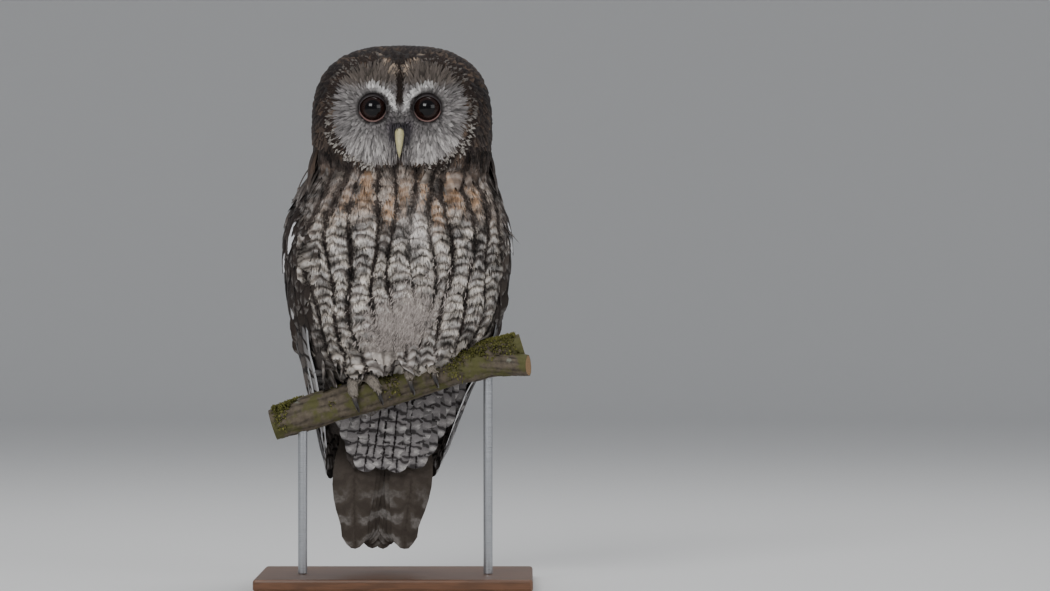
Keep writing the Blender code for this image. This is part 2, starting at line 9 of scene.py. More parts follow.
import bmesh
import bpy
import numpy as np
from bpy.props import FloatProperty, FloatVectorProperty, IntProperty, PointerProperty
from mathutils.bvhtree import BVHTree
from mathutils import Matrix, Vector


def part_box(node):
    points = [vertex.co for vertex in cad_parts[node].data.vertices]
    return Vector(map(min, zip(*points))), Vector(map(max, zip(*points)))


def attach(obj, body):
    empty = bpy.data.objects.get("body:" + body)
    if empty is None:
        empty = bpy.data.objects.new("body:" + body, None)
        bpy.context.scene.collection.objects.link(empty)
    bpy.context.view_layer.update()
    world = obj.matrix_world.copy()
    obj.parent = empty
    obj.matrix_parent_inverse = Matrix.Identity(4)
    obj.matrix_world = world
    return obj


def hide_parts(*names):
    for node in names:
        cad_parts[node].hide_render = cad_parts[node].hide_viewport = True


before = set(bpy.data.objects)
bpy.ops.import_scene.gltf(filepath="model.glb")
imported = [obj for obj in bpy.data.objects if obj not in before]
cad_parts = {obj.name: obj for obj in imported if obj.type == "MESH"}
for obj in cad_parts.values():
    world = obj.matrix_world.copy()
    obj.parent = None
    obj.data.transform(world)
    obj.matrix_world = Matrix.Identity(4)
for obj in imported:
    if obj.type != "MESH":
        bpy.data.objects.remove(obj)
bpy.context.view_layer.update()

MM = 0.001

bl_info = {
    "name": "Tawny Owl",
    "version": (1, 0, 0),
    "blender": (4, 5, 0),
    "location": "3D View > Sidebar > Owl",
    "description": "Builds a still, life-size tawny owl in full plumage on a perch and a stand",
    "category": "Object",
}

# ---------------------------------------------------------------- places, all taken from the frame


def node_box(name):
    """A solid's lowest and highest corners as an array of two points."""
    return np.array([tuple(corner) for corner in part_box(name)])


SIDES = ((1, "left"), (-1, "right"))
EYE_BOXES = {side: node_box("eye_" + name) for side, name in SIDES}
EYE_RADIUS = (EYE_BOXES[1][1, 1] - EYE_BOXES[1][0, 1]) / 2
EYES = {side: box.mean(0) for side, box in EYE_BOXES.items()}
FACE_X = (EYES[1][0] + EYES[-1][0]) / 2
EYE_X, EYE_Z = EYES[1][0] - FACE_X, EYES[1][2]
HEAD_MIDDLE = np.array([FACE_X, 1 * MM, 349 * MM])
TAIL_LOW, TAIL_HIGH = node_box("tail")
BILL_LOW, BILL_HIGH = node_box("bill_upper")
ROD_LEFT, ROD_RIGHT = node_box("stand_rod_left"), node_box("stand_rod_right")

BODY_TURN = math.radians(12)
# The facial disc is two overlapping ovals; these are the middle of one and its half sizes.
DISC_LOBE = np.array([15.5, 36, 39]) * MM
DISC_Z = EYE_Z - 3 * MM

PERCH_RADIUS = 13 * MM
PERCH_SLOPE = math.atan2(ROD_LEFT[1, 2] - ROD_RIGHT[1, 2], (ROD_LEFT - ROD_RIGHT)[:, 0].mean())
# How far the rods reach up into the perch.
ROD_SINK = 9 * MM
PERCH_MIDDLE = np.array([0, ROD_LEFT[:, 1].mean(), (ROD_LEFT + ROD_RIGHT)[1, 2] / 2])
PERCH_MIDDLE[2] += PERCH_RADIUS - ROD_SINK
PERCH_ENDS = (-98 * MM, 102 * MM)

# The solids that the skin and its feathers replace.
FLESH = ["trunk", "neck", "head", "facial_disc", "wing_left", "wing_right", "undertail", "uppertail"]
FLESH += ["leg_left", "leg_right"]
FLESH += [f"toe_{toe}_{name}" for toe in ("inner", "middle", "hind", "outer") for _, name in SIDES]

SKIN_VOXEL = 2.2 * MM
# The share of the whole map that one feather takes up in it.
BAKE_PATCH = 0.003
# How far out the level rays start that find the owl's surface, from its middle line and in front of it.
RAY_START = 160 * MM
FRONT = -120 * MM


# ---------------------------------------------------------------- small mathematics


def unit(vectors):
    """Vectors brought to a length of 1."""
    return vectors / np.maximum(np.linalg.norm(vectors, axis=-1, keepdims=True), 1e-12)


def circle(count):
    """Angles evenly round a full turn."""
    return np.linspace(0, 2 * math.pi, count, endpoint=False)


def only(keep, *arrays):
    """The chosen rows of several arrays."""
    return [array[keep] for array in arrays]


def between(low, high, share):
    """The value that lies a share of the way from one to the other."""
    return low + (high - low) * share


def smooth(value, low, high):
    """0 below low, 1 above high, and an even curve between; low may be the larger of the two."""
    t = np.clip((value - low) / (high - low), 0, 1)
    return t * t * (3 - 2 * t)


def bell(value, middle, spread):
    """1 at the middle, falling off evenly to both sides."""
    return np.exp(-(((value - middle) / spread) ** 2))


def mottle(points, size, seed=0.0):
    """Soft patches of about the given size, from 0 to 1: five sine waves in different directions."""
    total = 0
    for k in range(5):
        turn = 2.4 * k + seed
        way = np.array([math.cos(turn), math.sin(1.7 * turn), math.cos(2.3 * turn + 1)])
        total = total + np.sin(points @ way * (2 * math.pi / size) * (0.7 + 0.22 * k) + 3 * turn)
    return np.clip(0.5 + total / 6, 0, 1)


def srgb(*values):
    """A colour given as 0 to 255 on a screen, as the linear values that shaders use."""
    v = np.array(values) / 255
    return np.where(v <= 0.04045, v / 12.92, ((v + 0.055) / 1.055) ** 2.4)


def axis_shift(z):
    """How far the owl's middle line lies from X = 0 at a height: tail and head swing to opposite sides."""
    head = FACE_X * smooth(z, 0.262, 0.345)
    return head - 7.5 * MM * (1 - smooth(z, TAIL_LOW[2], 0.165))


def body_axis(z):
    """Points on the body's middle line: it leans back towards the tail below the belly."""
    y = 32 * MM * (1 - smooth(z, 0.12, 0.19))
    return np.stack(np.broadcast_arrays(axis_shift(z), y, z), -1)


def body_angle(points):
    """Degrees round the body from the middle of the breast, positive towards the owl's left."""
    away = points - body_axis(points[..., 2])
    turn = np.arctan2(away[..., 0], -away[..., 1]) - BODY_TURN
    return np.degrees((turn + math.pi) % (2 * math.pi) - math.pi)


def disc_share(points):
    """How far out in the facial disc a point lies: 0 in the middle of its half, 1 on the rim."""
    across = (np.abs(points[..., 0] - FACE_X) - DISC_LOBE[0]) / DISC_LOBE[1]
    return np.hypot(across, (points[..., 2] - DISC_Z) / DISC_LOBE[2])


# Degrees round the body from one dark streak down the breast to the next, and the height between the
# thin dark lines that arch from streak to streak.
COLUMN_PITCH = 12.5
LINE_PITCH = 7 * MM


def column_angle(column, z):
    """The angle of a dark streak down the breast, which sways a little on its way."""
    return column + 1.3 * np.sin(1.7 * column) + 2.4 * np.sin(z / (15 * MM) + 0.9 * column)


def streak_place(points):
    """Where points lie among the streaks down the breast.

    Returns how many half widths away the nearest streak is, the phase of the thin dark lines that arch
    between two streaks, and the number of the gap. A line keeps to z - A s (2 - s), where s is 0 on a
    streak and 1 halfway to the next.
    """
    angle, z = body_angle(points), points[:, 2]
    columns = (np.round(angle / COLUMN_PITCH)[:, None] + [-1, 0, 1]) * COLUMN_PITCH
    away = angle[:, None] - column_angle(columns, z[:, None])
    near = np.abs(away).argmin(1)[:, None]
    away, column = (np.take_along_axis(a, near, 1)[:, 0] for a in (away, columns))
    gap = np.round(column / COLUMN_PITCH) + (away > 0)
    s = np.clip(2 * np.abs(away) / COLUMN_PITCH, 0, 1)
    half_width = (1.05 + 0.75 * smooth(z, 0.262, 0.29)) * (0.2 + 1.5 * mottle(points, 0.018, 7))
    arch = (z - 4.4 * MM * s * (2 - s)) / LINE_PITCH + 0.37 * gap + 0.4 * mottle(points, 0.03, 6)
    return np.abs(away) / half_width, arch, gap


# ---------------------------------------------------------------- the plumage's colours

INK = srgb(30, 24, 25)
UMBER = srgb(58, 48, 43)
CROWN = srgb(48, 41, 38)
GREY = srgb(118, 114, 113)
ASH = srgb(164, 160, 158)
CHALK = srgb(222, 219, 217)
BUFF = srgb(184, 146, 112)
CREAM = srgb(216, 206, 194)
DOWN = srgb(178, 168, 162)
WING = srgb(92, 84, 79)
BACK = srgb(104, 90, 76)
TAIL = srgb(74, 67, 61)


def plumage(points):
    """The plumage's markings at points, for the skin and for each feather by its root.

    Returns the ground colour, the dark colour, and four strengths from 0 to 1: the dark streak down the
    shaft, the dark cross bars, the white outer web, and how loose and downy it is.
    """
    x, y, z = points.T
    angle = body_angle(points)
    side = np.abs(angle)
    across, up = np.abs(x - FACE_X), z - EYE_Z
    share = disc_share(points)
    patches = mottle(points, 0.03)
    beside, _, gap = streak_place(points)
    count = len(points)
    ground = np.tile(CREAM, (count, 1))
    dark = between(INK, srgb(88, 77, 71), (0.45 + 0.55 * smooth(z, 0.258, 0.285))[:, None])
    streak, bars, web, loose = (np.zeros(count) for _ in range(4))

    def paint(colour, mask):
        """Brings the ground towards a colour where the mask is above 0."""
        nonlocal ground
        ground = between(ground, colour, np.clip(mask, 0, 1)[:, None])

    # The breast and belly: pale with buff high on the breast, and a plain downy patch low in the middle.
    streak += 1
    bars += 0.3 + 0.5 * smooth(z, 0.29, 0.268)
    paint(srgb(196, 180, 167), 0.85 * smooth(z, 0.262, 0.29))
    paint(srgb(108, 101, 97), 0.6 * smooth(mottle(points, 0.011, 4), 0.45, 0.8))
    paint(srgb(112, 106, 104), 0.75 * smooth(mottle(points, 0.03, 2), 0.4, 0.75))
    buff = bell(z, 0.292 + 7 * MM * np.sin(2.3 * gap), 0.013) * smooth(beside, 1.0, 2.4)
    buff = buff * smooth(side, 62, 45)
    paint(BUFF * (0.95 + 0.25 * np.sin(3.1 * gap))[:, None], 0.95 * buff * smooth(patches, 0.05, 0.5))
    paint(srgb(124, 114, 106), 0.4 * smooth(side, 42, 58))
    clear = bell(angle, 2, 9) * bell(z, 0.267, 0.019)
    paint(srgb(226, 218, 212), 0.9 * clear)
    streak *= 1 - 0.75 * clear
    downy = bell(angle, -5 + (z - 0.2) / (2.2 * MM), 20) * bell(z, 0.196, 0.024)
    paint(DOWN, 1.2 * downy)
    streak *= 1 - smooth(downy, 0.15, 0.75)
    bars *= 1 - smooth(downy, 0.1, 0.7)
    loose += downy

    # The flanks, wings and back: brown, darker towards the nape.
    behind = smooth(side, 58, 72)
    paint(WING, behind)
    paint(BACK, smooth(side, 95, 130) * smooth(patches, 0.25, 0.75))
    bars, streak = between(bars, 0.3, behind), between(streak, 0.8, behind)
    paint(srgb(160, 155, 150), smooth(z, 0.155, 0.14) * smooth(side, 75, 60))

    # The neck and the back of the head: dark brown feathers with buff edges.
    head = smooth(z + 9 * MM * (mottle(points, 0.02, 9) - 0.5), 0.306, 0.322)
    paint(CROWN, head)
    paint(srgb(84, 74, 69), 0.7 * head * smooth(z, 0.37, 0.335))
    dark = between(dark, INK, np.maximum(head, behind)[:, None])
    paint(srgb(104, 86, 72), head * smooth(mottle(points, 0.016, 5), 0.5, 0.8) * 0.6)
    bars *= 1 - 0.85 * head
    streak = between(streak, 0.7, head)

    # The face: a grey disc, paler low down and brown above the eyes, with a white arc inside each eye's
    # upper edge. A dark stripe comes down the forehead between two rows of buff spots that make a V.
    face = smooth(y, -0.026, -0.036) * smooth(z, 0.308, 0.318)
    disc = face * smooth(share, 1.04, 0.97)
    inner, out = EYE_X - across, np.hypot(across - EYE_X, up)
    streaks = smooth(mottle(points, 0.0065, 3), 0.35, 0.65)
    paint(srgb(122, 118, 117), disc)
    paint(ASH, disc * 0.8 * bell(out, 20 * MM, 6 * MM) * streaks * smooth(inner, 2 * MM, -8 * MM))
    paint(srgb(98, 90, 84), disc * smooth(up, 13 * MM, 22 * MM))
    low_face = disc * smooth(up, -17 * MM, -27 * MM)
    paint(srgb(186, 181, 178), low_face * (0.35 + 0.65 * streaks))
    paint(srgb(86, 80, 84), disc * bell(across, 7 * MM, 4 * MM) * bell(up, -15 * MM, 7 * MM))
    paint(srgb(98, 84, 76), disc * bell(across, 0, 6 * MM) * smooth(up, -27 * MM, -33 * MM))
    arc = np.degrees(np.arctan2(up, inner))
    brow = bell(out, 15.5 * MM + 2 * MM * smooth(arc, 40, 100), 2.1 * MM) * smooth(np.abs(arc - 48), 66, 40)
    paint(CHALK, disc * np.clip(1.6 * brow, 0, 1))
    paint(srgb(52, 45, 44), disc * bell(out, 10.5 * MM, 1.8 * MM))
    half_stripe = 3.4 * MM - 1.8 * MM * bell(up, 29 * MM, 5 * MM) + 9 * MM * smooth(up, 30 * MM, 50 * MM)
    stripe = face * smooth(across, 1.25 * half_stripe, 0.75 * half_stripe) * smooth(up, -2 * MM, 4 * MM)
    paint(UMBER * 0.55, stripe)
    arm = 4 * MM + 0.9 * np.clip(up - 29 * MM, 0, 1)
    chevron = face * bell(across, arm, 2.4 * MM) * smooth(up, 24 * MM, 28 * MM)
    paint(srgb(186, 166, 146), chevron * smooth(np.sin(up / (0.95 * MM)), -0.7, 0.3))
    streak *= 1 - 0.85 * disc
    bars *= 1 - disc
    loose = np.maximum(loose, disc)
    return ground, dark, np.stack([streak, bars, web, loose], -1)


# ---------------------------------------------------------------- meshes


def flat_mesh(name, points, faces):
    """A mesh from an array of points and arrays of faces, each array holding faces of one length."""
    mesh = bpy.data.meshes.new(name)
    mesh.vertices.add(len(points))
    mesh.vertices.foreach_set("co", np.asarray(points, np.float32).ravel())
    corners = np.concatenate([f.ravel() for f in faces]).astype(np.int32)
    lengths = np.concatenate([np.full(len(f), f.shape[1]) for f in faces])
    mesh.loops.add(len(corners))
    mesh.loops.foreach_set("vertex_index", corners)
    mesh.polygons.add(len(lengths))
    starts = np.r_[0, np.cumsum(lengths)[:-1]].astype(np.int32)
    mesh.polygons.foreach_set("loop_start", starts)
    mesh.update(calc_edges=True)
    return mesh


def set_attribute(mesh, name, values):
    """Stores one number or one colour for each point of a mesh."""
    values = np.asarray(values, np.float32)
    if values.ndim == 1:
        mesh.attributes.new(name, "FLOAT", "POINT").data.foreach_set("value", values)
        return
    if values.shape[1] == 3:
        values = np.c_[values, np.ones(len(values), np.float32)]
    mesh.attributes.new(name, "FLOAT_COLOR", "POINT").data.foreach_set("color", values.ravel())


def set_uv(mesh, name, values):
    """A UV map from one pair of values for each point."""
    corners = np.empty(len(mesh.loops), np.int32)
    mesh.loops.foreach_get("vertex_index", corners)
    layer = mesh.uv_layers.new(name=name)
    layer.uv.foreach_set("vector", np.asarray(values, np.float32)[corners].ravel())


def grid_faces(rows, columns, wrap=False):
    """Four-sided faces between the neighbours of a grid; wrap joins the last column to the first."""
    r = np.arange(rows - 1)[:, None]
    c = np.arange(columns if wrap else columns - 1)[None, :]
    d = (c + 1) % columns
    quads = [r * columns + c, r * columns + d, (r + 1) * columns + d, (r + 1) * columns + c]
    return np.stack([np.broadcast_to(q, (rows - 1, c.shape[1])) for q in quads], -1).reshape(-1, 4)


def closed_tube(name, rings):
    """A mesh through rings of points with a fan to each end's middle, its faces turned outwards."""
    rows, columns = rings.shape[:2]
    ends = [rings[0].mean(0), rings[-1].mean(0)]
    points = np.concatenate([rings.reshape(-1, 3), ends])
    around = np.arange(columns)
    after = (around + 1) % columns
    last, first_pole = (rows - 1) * columns, rows * columns
    fans = [
        np.stack([after, around, np.full(columns, first_pole)], -1),
        np.stack([last + around, last + after, np.full(columns, first_pole + 1)], -1),
    ]
    return face_outwards(flat_mesh(name, points, [grid_faces(rows, columns, wrap=True), *fans]))


def face_outwards(mesh):
    """Turns every face of a closed mesh outwards."""
    bm = bmesh.new()
    bm.from_mesh(mesh)
    bmesh.ops.recalc_face_normals(bm, faces=bm.faces)
    bm.to_mesh(mesh)
    bm.free()
    return mesh


def mesh_of(name, bm):
    """A new mesh with what a bmesh holds. The bmesh is freed."""
    mesh = bpy.data.meshes.new(name)
    bm.to_mesh(mesh)
    bm.free()
    return mesh


def join_meshes(name, meshes):
    """One mesh holding several, in order."""
    bm = bmesh.new()
    for mesh in meshes:
        bm.from_mesh(mesh)
    return mesh_of(name, bm)


def add_piece(name, mesh, material, nodes=(), sharp=None):
    """Links a finished mesh as a piece of the owl that rides on its one body."""
    piece = bpy.data.objects.new(name, mesh)
    bpy.context.scene.collection.objects.link(piece)
    mesh.shade_smooth()
    if sharp is not None:
        mesh.set_sharp_from_angle(angle=math.radians(sharp))
    mesh.materials.append(material)
    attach(piece, "root")
    if nodes:
        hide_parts(*nodes)
    return piece


def read_vectors(items, key):
    """The three values that each of a mesh's points or normals holds, as rows of an array."""
    values = np.empty(len(items) * 3, np.float32)
    items.foreach_get(key, values)
    return values.reshape(-1, 3).astype(float)


# ---------------------------------------------------------------- the outer form, and laying feathers on it


@functools.lru_cache
def outer_form():
    """The form that the plumage's tips reach: the flesh solids, swollen a little until they meet, as one.

    Returns the mesh and a tree for finding points on it.
    """
    bm = bmesh.new()
    for node in FLESH:
        part = bmesh.new()
        part.from_mesh(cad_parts[node].data)
        bmesh.ops.remove_doubles(part, verts=part.verts, dist=0.01 * MM)
        part.normal_update()
        swell = 0.2 * MM if node.startswith("toe") else 0.7 * MM
        for vert, normal in [(v, v.normal.copy()) for v in part.verts]:
            vert.co += normal * swell
        swollen = mesh_of("swollen", part)
        bm.from_mesh(swollen)
        bpy.data.meshes.remove(swollen)
    holder = bpy.data.objects.new("form", mesh_of("form", bm))
    bpy.context.scene.collection.objects.link(holder)
    remesh = holder.modifiers.new("one_skin", "REMESH")
    remesh.mode = "VOXEL"
    remesh.voxel_size = SKIN_VOXEL
    even = holder.modifiers.new("even", "SMOOTH")
    even.factor, even.iterations = 0.5, 6
    graph = bpy.context.evaluated_depsgraph_get()
    form = bpy.data.meshes.new_from_object(holder.evaluated_get(graph))
    bpy.data.objects.remove(holder)
    form.name = "form"
    triangles = np.empty(len(form.loop_triangles) * 3, np.int32)
    form.loop_triangles.foreach_get("vertices", triangles)
    corners = read_vectors(form.vertices, "co").tolist()
    return form, BVHTree.FromPolygons(corners, triangles.reshape(-1, 3).tolist())


def cast_in(starts, ways):
    """Where rays first meet the outer form. Returns the points, their normals, and which rays met it."""
    tree = outer_form()[1]
    hits = [tree.ray_cast(start, way)[:2] for start, way in zip(starts.tolist(), ways.tolist())]
    met = np.array([hit[0] is not None for hit in hits])
    points = np.array([hit[0] if hit[0] else (0, 0, 0) for hit in hits])
    normals = np.array([hit[1] if hit[0] else (0, 0, 1) for hit in hits])
    return points, normals, met


def nearest(points):
    """The nearest points on the outer form, and their normals."""
    tree = outer_form()[1]
    hits = [tree.find_nearest(point)[:2] for point in points.tolist()]
    return np.array([hit[0] for hit in hits]), np.array([hit[1] for hit in hits])


def body_roots(angles, heights):
    """Points on the body at heights and degrees round it, by level rays in towards its middle line."""
    turn = np.radians(angles) + BODY_TURN
    way = np.stack([np.sin(turn), -np.cos(turn), np.zeros_like(turn)], -1)
    return cast_in(body_axis(heights) + RAY_START * way, -way)


def head_roots(polar, around):
    """Points on the head: polar is 0 degrees straight ahead, around goes round from the owl's left."""
    polar, around = np.radians(polar), np.radians(around)
    way = np.stack(
        [np.sin(polar) * np.cos(around), -np.cos(polar), np.sin(polar) * np.sin(around)], -1
    )
    return cast_in(HEAD_MIDDLE + RAY_START * way, -way)


def in_front(x, z):
    """Points in front of the owl."""
    return np.stack(np.broadcast_arrays(x, FRONT, z), -1)


def face_roots(start):
    """Points on the owl, by level rays straight back from points in front of it."""
    return cast_in(start, np.broadcast_to((0.0, 1.0, 0.0), start.shape))


def staggered(rows, count_of, jitter, rng):
    """Places in rows: for each row a number of evenly spaced ones, each row shifted from the one before.

    Returns the row value and the share along the row, from 0 to 1, of every place.
    """
    values, shares = [], []
    for k, row in enumerate(rows):
        count = max(int(count_of(row)), 1)
        share = (np.arange(count) + 0.5 * (k % 2) + 0.25) / count
        values.append(np.full(count, row))
        shares.append(share + rng.normal(0, jitter / count, count))
    return np.concatenate(values), np.concatenate(shares)


def feather_points(centre, normals, width, grid, cup, rag, rounding, taper, roll, rng):
    """The points of many vanes at once, as an array of feathers by rows by columns.

    The shaft is a parabola through its root, middle and tip. Across it the vane bends down as the square
    of the distance, widens from the root and narrows to a rounded, slightly ragged tip.
    """
    rows, columns = grid
    count = len(centre)
    t = np.linspace(0, 1, rows)[None, :, None]
    u = np.linspace(-1, 1, columns)[None, None, :]
    comb = np.where(np.arange(columns) % 2, 1.0, 0.25)
    ragged = (0.4 + 0.6 * rng.random((count, 1, columns))) * rag * comb
    t = t * (1 - rounding * u**2 * t**4) - ragged * t**5
    curve = np.stack([(1 - t) * (1 - 2 * t), 4 * t * (1 - t), t * (2 * t - 1)], -1)
    slope = np.stack([4 * t - 3, 4 - 8 * t, 4 * t - 1], -1)
    shaft = curve @ centre[:, None]
    along = unit(slope @ centre[:, None])
    out = normals[:, None, None, 0] * (1 - t[..., None]) + normals[:, None, None, 1] * t[..., None]
    beside = unit(np.cross(along, out))
    out = np.cross(beside, along)
    half = width[:, None, None] / 2 * (taper[0] + (1 - taper[0]) * smooth(t, 0, 0.5))
    half = half * (1 - (1 - taper[1]) * smooth(t, 0.55, 1.0))
    lift = (1 - u**2) * 0.12 * MM - cup * half * u**2 + roll[:, None, None] * half * u
    return shaft + beside * (half * u)[..., None] + out * lift[..., None]


def blades(stations, normals, width, grid, cup, taper, rng):
    """The points of smooth vanes through three stations each, which keep one normal along their length."""
    count = len(normals)
    return feather_points(
        np.stack(stations, 1), np.stack([normals, normals], 1), np.full(count, width), grid, cup, 0.0, 0.0,
        taper, np.zeros(count), rng,
    )


def feather_faces(count, grid):
    """The faces of closed vanes: the upper side's grid, a flat underside, and a cap at the root and tip."""
    rows, columns = grid
    last = columns - 1
    r = np.arange(rows - 1)[:, None] * columns
    under = np.concatenate([r + last, r, r + columns, r + columns + last], -1)
    caps = [np.arange(columns)[::-1][None], np.arange(columns)[None] + (rows - 1) * columns]
    parts = [grid_faces(rows, columns), under, *caps]
    shift = (np.arange(count) * rows * columns)[:, None, None]
    return [(part[None] + shift).reshape(-1, part.shape[1]) for part in parts]


def lay_feathers(
    name, roots, lie, length, width, unwrap, rng, grid=(5, 5), depth=(3 * MM, 0.4 * MM), swing=0.1,
    cling=7 * MM, loft=0.3 * MM, roll=0.08, cup=0.16, rag=0.1, rounding=0.2, taper=(0.45, 0.6),
    colours=None, trim=False, **finish,
):
    """A coat piece: one closed vane for each root, lying along the form in the direction given.

    Roots are points and normals on the outer form. Each vane starts below it, by the coat's depth, and
    ends near it. It follows the form where that is within cling of its straight line, and is left out if
    trim is set and its tip isn't. unwrap gives each root's place on the skin as two arrays, by which each
    feather gets a small patch of the OFBake map.
    """
    points, normals = roots
    count = len(points)
    length, width = np.broadcast_to(length, count), np.broadcast_to(width, count)
    length = length * (1 + 0.1 * rng.normal(size=count).clip(-1.5, 1.5))
    lie = unit(lie - normals * (lie * normals).sum(-1, keepdims=True))
    lie = unit(lie + np.cross(normals, lie) * rng.normal(0, swing, count)[:, None])
    cling = np.broadcast_to(cling, count)[:, None]
    stations, ups = [points - normals * depth[0]], [normals]
    for share in (0.5, 1.0):
        target = points + lie * (length * share)[:, None]
        found, up = nearest(target)
        gap = np.linalg.norm(found - target, axis=-1, keepdims=True)
        near = smooth(gap, 2 * cling, cling)
        up = unit(between(normals, up, near))
        below = between(*depth, share**0.7) + loft * rng.random(count)[:, None]
        stations.append(between(target, found, near) - up * below)
        ups.append(up)
    centre = np.stack(stations, 1)
    out = np.stack([ups[0], ups[2]], 1)
    roll = rng.normal(0, roll, count)
    vanes = feather_points(centre, out, width, grid, cup, rag, rounding, taper, roll, rng)
    colours = colours or plumage(points + lie * (0.7 * length)[:, None])
    held = near[:, 0] > (0.4 if trim else -1)
    return vane_piece(name, vanes[held], only(held, *colours), only(held, *unwrap), rng, **finish)


def vane_piece(
    name, vanes, colours, unwrap, rng, material, slot="plumage", nodes=(), webs=(0, 1), spread=0.1,
    tract=False,
):
    """Makes the mesh, maps and attributes of a coat piece from its vanes' points.

    unwrap holds two arrays with each vane's place on the skin. webs says which side of the vane is the
    outer one, spread how far the feathers' brightness varies, and tract whether their pattern runs on
    from one to the next.
    """
    count, rows, columns = vanes.shape[:3]
    mesh = flat_mesh(name, vanes.reshape(-1, 3), feather_faces(count, (rows, columns)))
    v, u = np.meshgrid(np.linspace(0, 1, rows), np.linspace(*webs, columns), indexing="ij")
    vane = np.broadcast_to(np.stack([u, v], -1)[None], (count, rows, columns, 2)).reshape(-1, 2)
    set_uv(mesh, "vane", vane)
    unwrap = np.stack(unwrap, -1)
    low, high = unwrap.min(0), unwrap.max(0)
    root = 0.02 + 0.96 * (unwrap - low) / np.maximum(high - low, 1e-9)
    per_point = rows * columns
    set_uv(mesh, "OFBake", np.repeat(root, per_point, 0) + (vane - 0.5) * BAKE_PATCH)
    ground, dark, marks = colours
    bright = (1 + spread * rng.normal(size=count).clip(-2, 2))[:, None]
    for label, values in (("ground", ground * bright), ("dark", dark * bright), ("marks", marks)):
        set_attribute(mesh, label, np.repeat(values, per_point, 0))
    if tract:
        beside, arch, _ = streak_place(vanes.reshape(-1, 3))
        set_attribute(mesh, "tract", np.stack([beside, arch, np.ones_like(arch)], -1))
    return add_piece(name, mesh, material, nodes, sharp=70)


def markings(count, ground, dark, marks=(0, 0, 0, 0)):
    """Colours and strengths for a number of feathers, where any that all share is given once."""
    shapes = ((ground, 3), (dark, 3), (marks, 4))
    return [np.broadcast_to(values, (count, width)) for values, width in shapes]


# ---------------------------------------------------------------- materials


def feed(tree, node, values):
    """Sets a node's inputs, each to a constant or by a link from another node's output."""
    for key, value in values.items():
        if isinstance(value, bpy.types.NodeSocket):
            tree.links.new(value, node.inputs[key])
        else:
            node.inputs[key].default_value = value


def add_node(tree, kind, values=None, **settings):
    """Adds a shader node with its settings, then its inputs."""
    node = tree.nodes.new(kind)
    for key, value in settings.items():
        setattr(node, key, value)
    feed(tree, node, values or {})
    return node


def maths(tree, operation, *values):
    """The result of a sum on numbers or sockets."""
    return add_node(tree, "ShaderNodeMath", dict(enumerate(values)), operation=operation).outputs[0]


def product(tree, *values):
    """All the values multiplied together, the first two first."""
    return functools.reduce(functools.partial(maths, tree, "MULTIPLY"), values)


def ramp(tree, value, low, high, to_low=0.0, to_high=1.0):
    """A value carried smoothly from one range to another and held at its ends."""
    values = {"Value": value, "From Min": low, "From Max": high, "To Min": to_low, "To Max": to_high}
    return add_node(tree, "ShaderNodeMapRange", values, interpolation_type="SMOOTHSTEP").outputs[0]


def blend_colours(tree, factor, low, high, mode="MIX"):
    """One colour mixed into another. Input 0 is the share, 6 and 7 are the colours, output 2 the result."""
    values = {0: factor, 6: low, 7: high}
    return add_node(tree, "ShaderNodeMix", values, data_type="RGBA", blend_type=mode).outputs[2]


def cover(tree, colour, *layers):
    """A colour with others laid over it in turn, each given with its mask."""
    for mask, layer in layers:
        colour = blend_colours(tree, mask, colour, layer)
    return colour


def stretched(tree, *scale):
    """Places on the object, stretched along its axes so that noise turns into grain or scratches."""
    place = add_node(tree, "ShaderNodeTexCoord").outputs["Object"]
    return add_node(tree, "ShaderNodeVectorMath", {0: place, 1: scale}, operation="MULTIPLY").outputs[0]


def noise(tree, scale, detail=3.0, roughness=0.5, place=None):
    """Soft noise at places on the object, or at those given."""
    vector = place or add_node(tree, "ShaderNodeTexCoord").outputs["Object"]
    values = {"Vector": vector, "Scale": scale, "Detail": detail, "Roughness": roughness}
    return add_node(tree, "ShaderNodeTexNoise", values).outputs["Fac"]


def new_group(name, inputs, outputs):
    """An empty node group with float and colour sockets, and its inner ends."""
    tree = bpy.data.node_groups.new(name, "ShaderNodeTree")
    kinds = {"f": "NodeSocketFloat", "c": "NodeSocketColor"}
    for in_out, sockets in (("INPUT", inputs), ("OUTPUT", outputs)):
        for label, kind in sockets.items():
            tree.interface.new_socket(label, in_out=in_out, socket_type=kinds[kind])
    return tree, tree.nodes.new("NodeGroupInput").outputs, tree.nodes.new("NodeGroupOutput")


def new_material(name):
    """A material and its node tree."""
    material = bpy.data.materials.new(name)
    material.use_nodes = True
    return material, material.node_tree


def finished(material, colour, roughness, relief=None, **values):
    """Gives a material's shader its colour, roughness and other values, and a bump.

    relief holds the bump's height, strength and distance. An input's name has _ in place of a space.
    """
    tree = material.node_tree
    values = {key.replace("_", " "): value for key, value in values.items()}
    values |= {"Base Color": colour, "Roughness": roughness}
    if relief:
        bump = dict(zip(("Height", "Strength", "Distance"), relief))
        values["Normal"] = add_node(tree, "ShaderNodeBump", bump).outputs[0]
    feed(tree, tree.nodes["Principled BSDF"], values)
    return material


def attribute(tree, name, output="Fac"):
    """A value that a mesh holds at each of its points."""
    return add_node(tree, "ShaderNodeAttribute", attribute_name=name).outputs[output]


def opaque(colour):
    """A linear colour with its alpha."""
    return (*colour, 1)


def shade(*values):
    """A shader's colour, given as 0 to 255 on a screen."""
    return opaque(srgb(*values))


# The vane group's inputs that its feathers carry as attributes.
SHARED_INPUTS = ("Ground", "Dark", "Marks", "Tract")


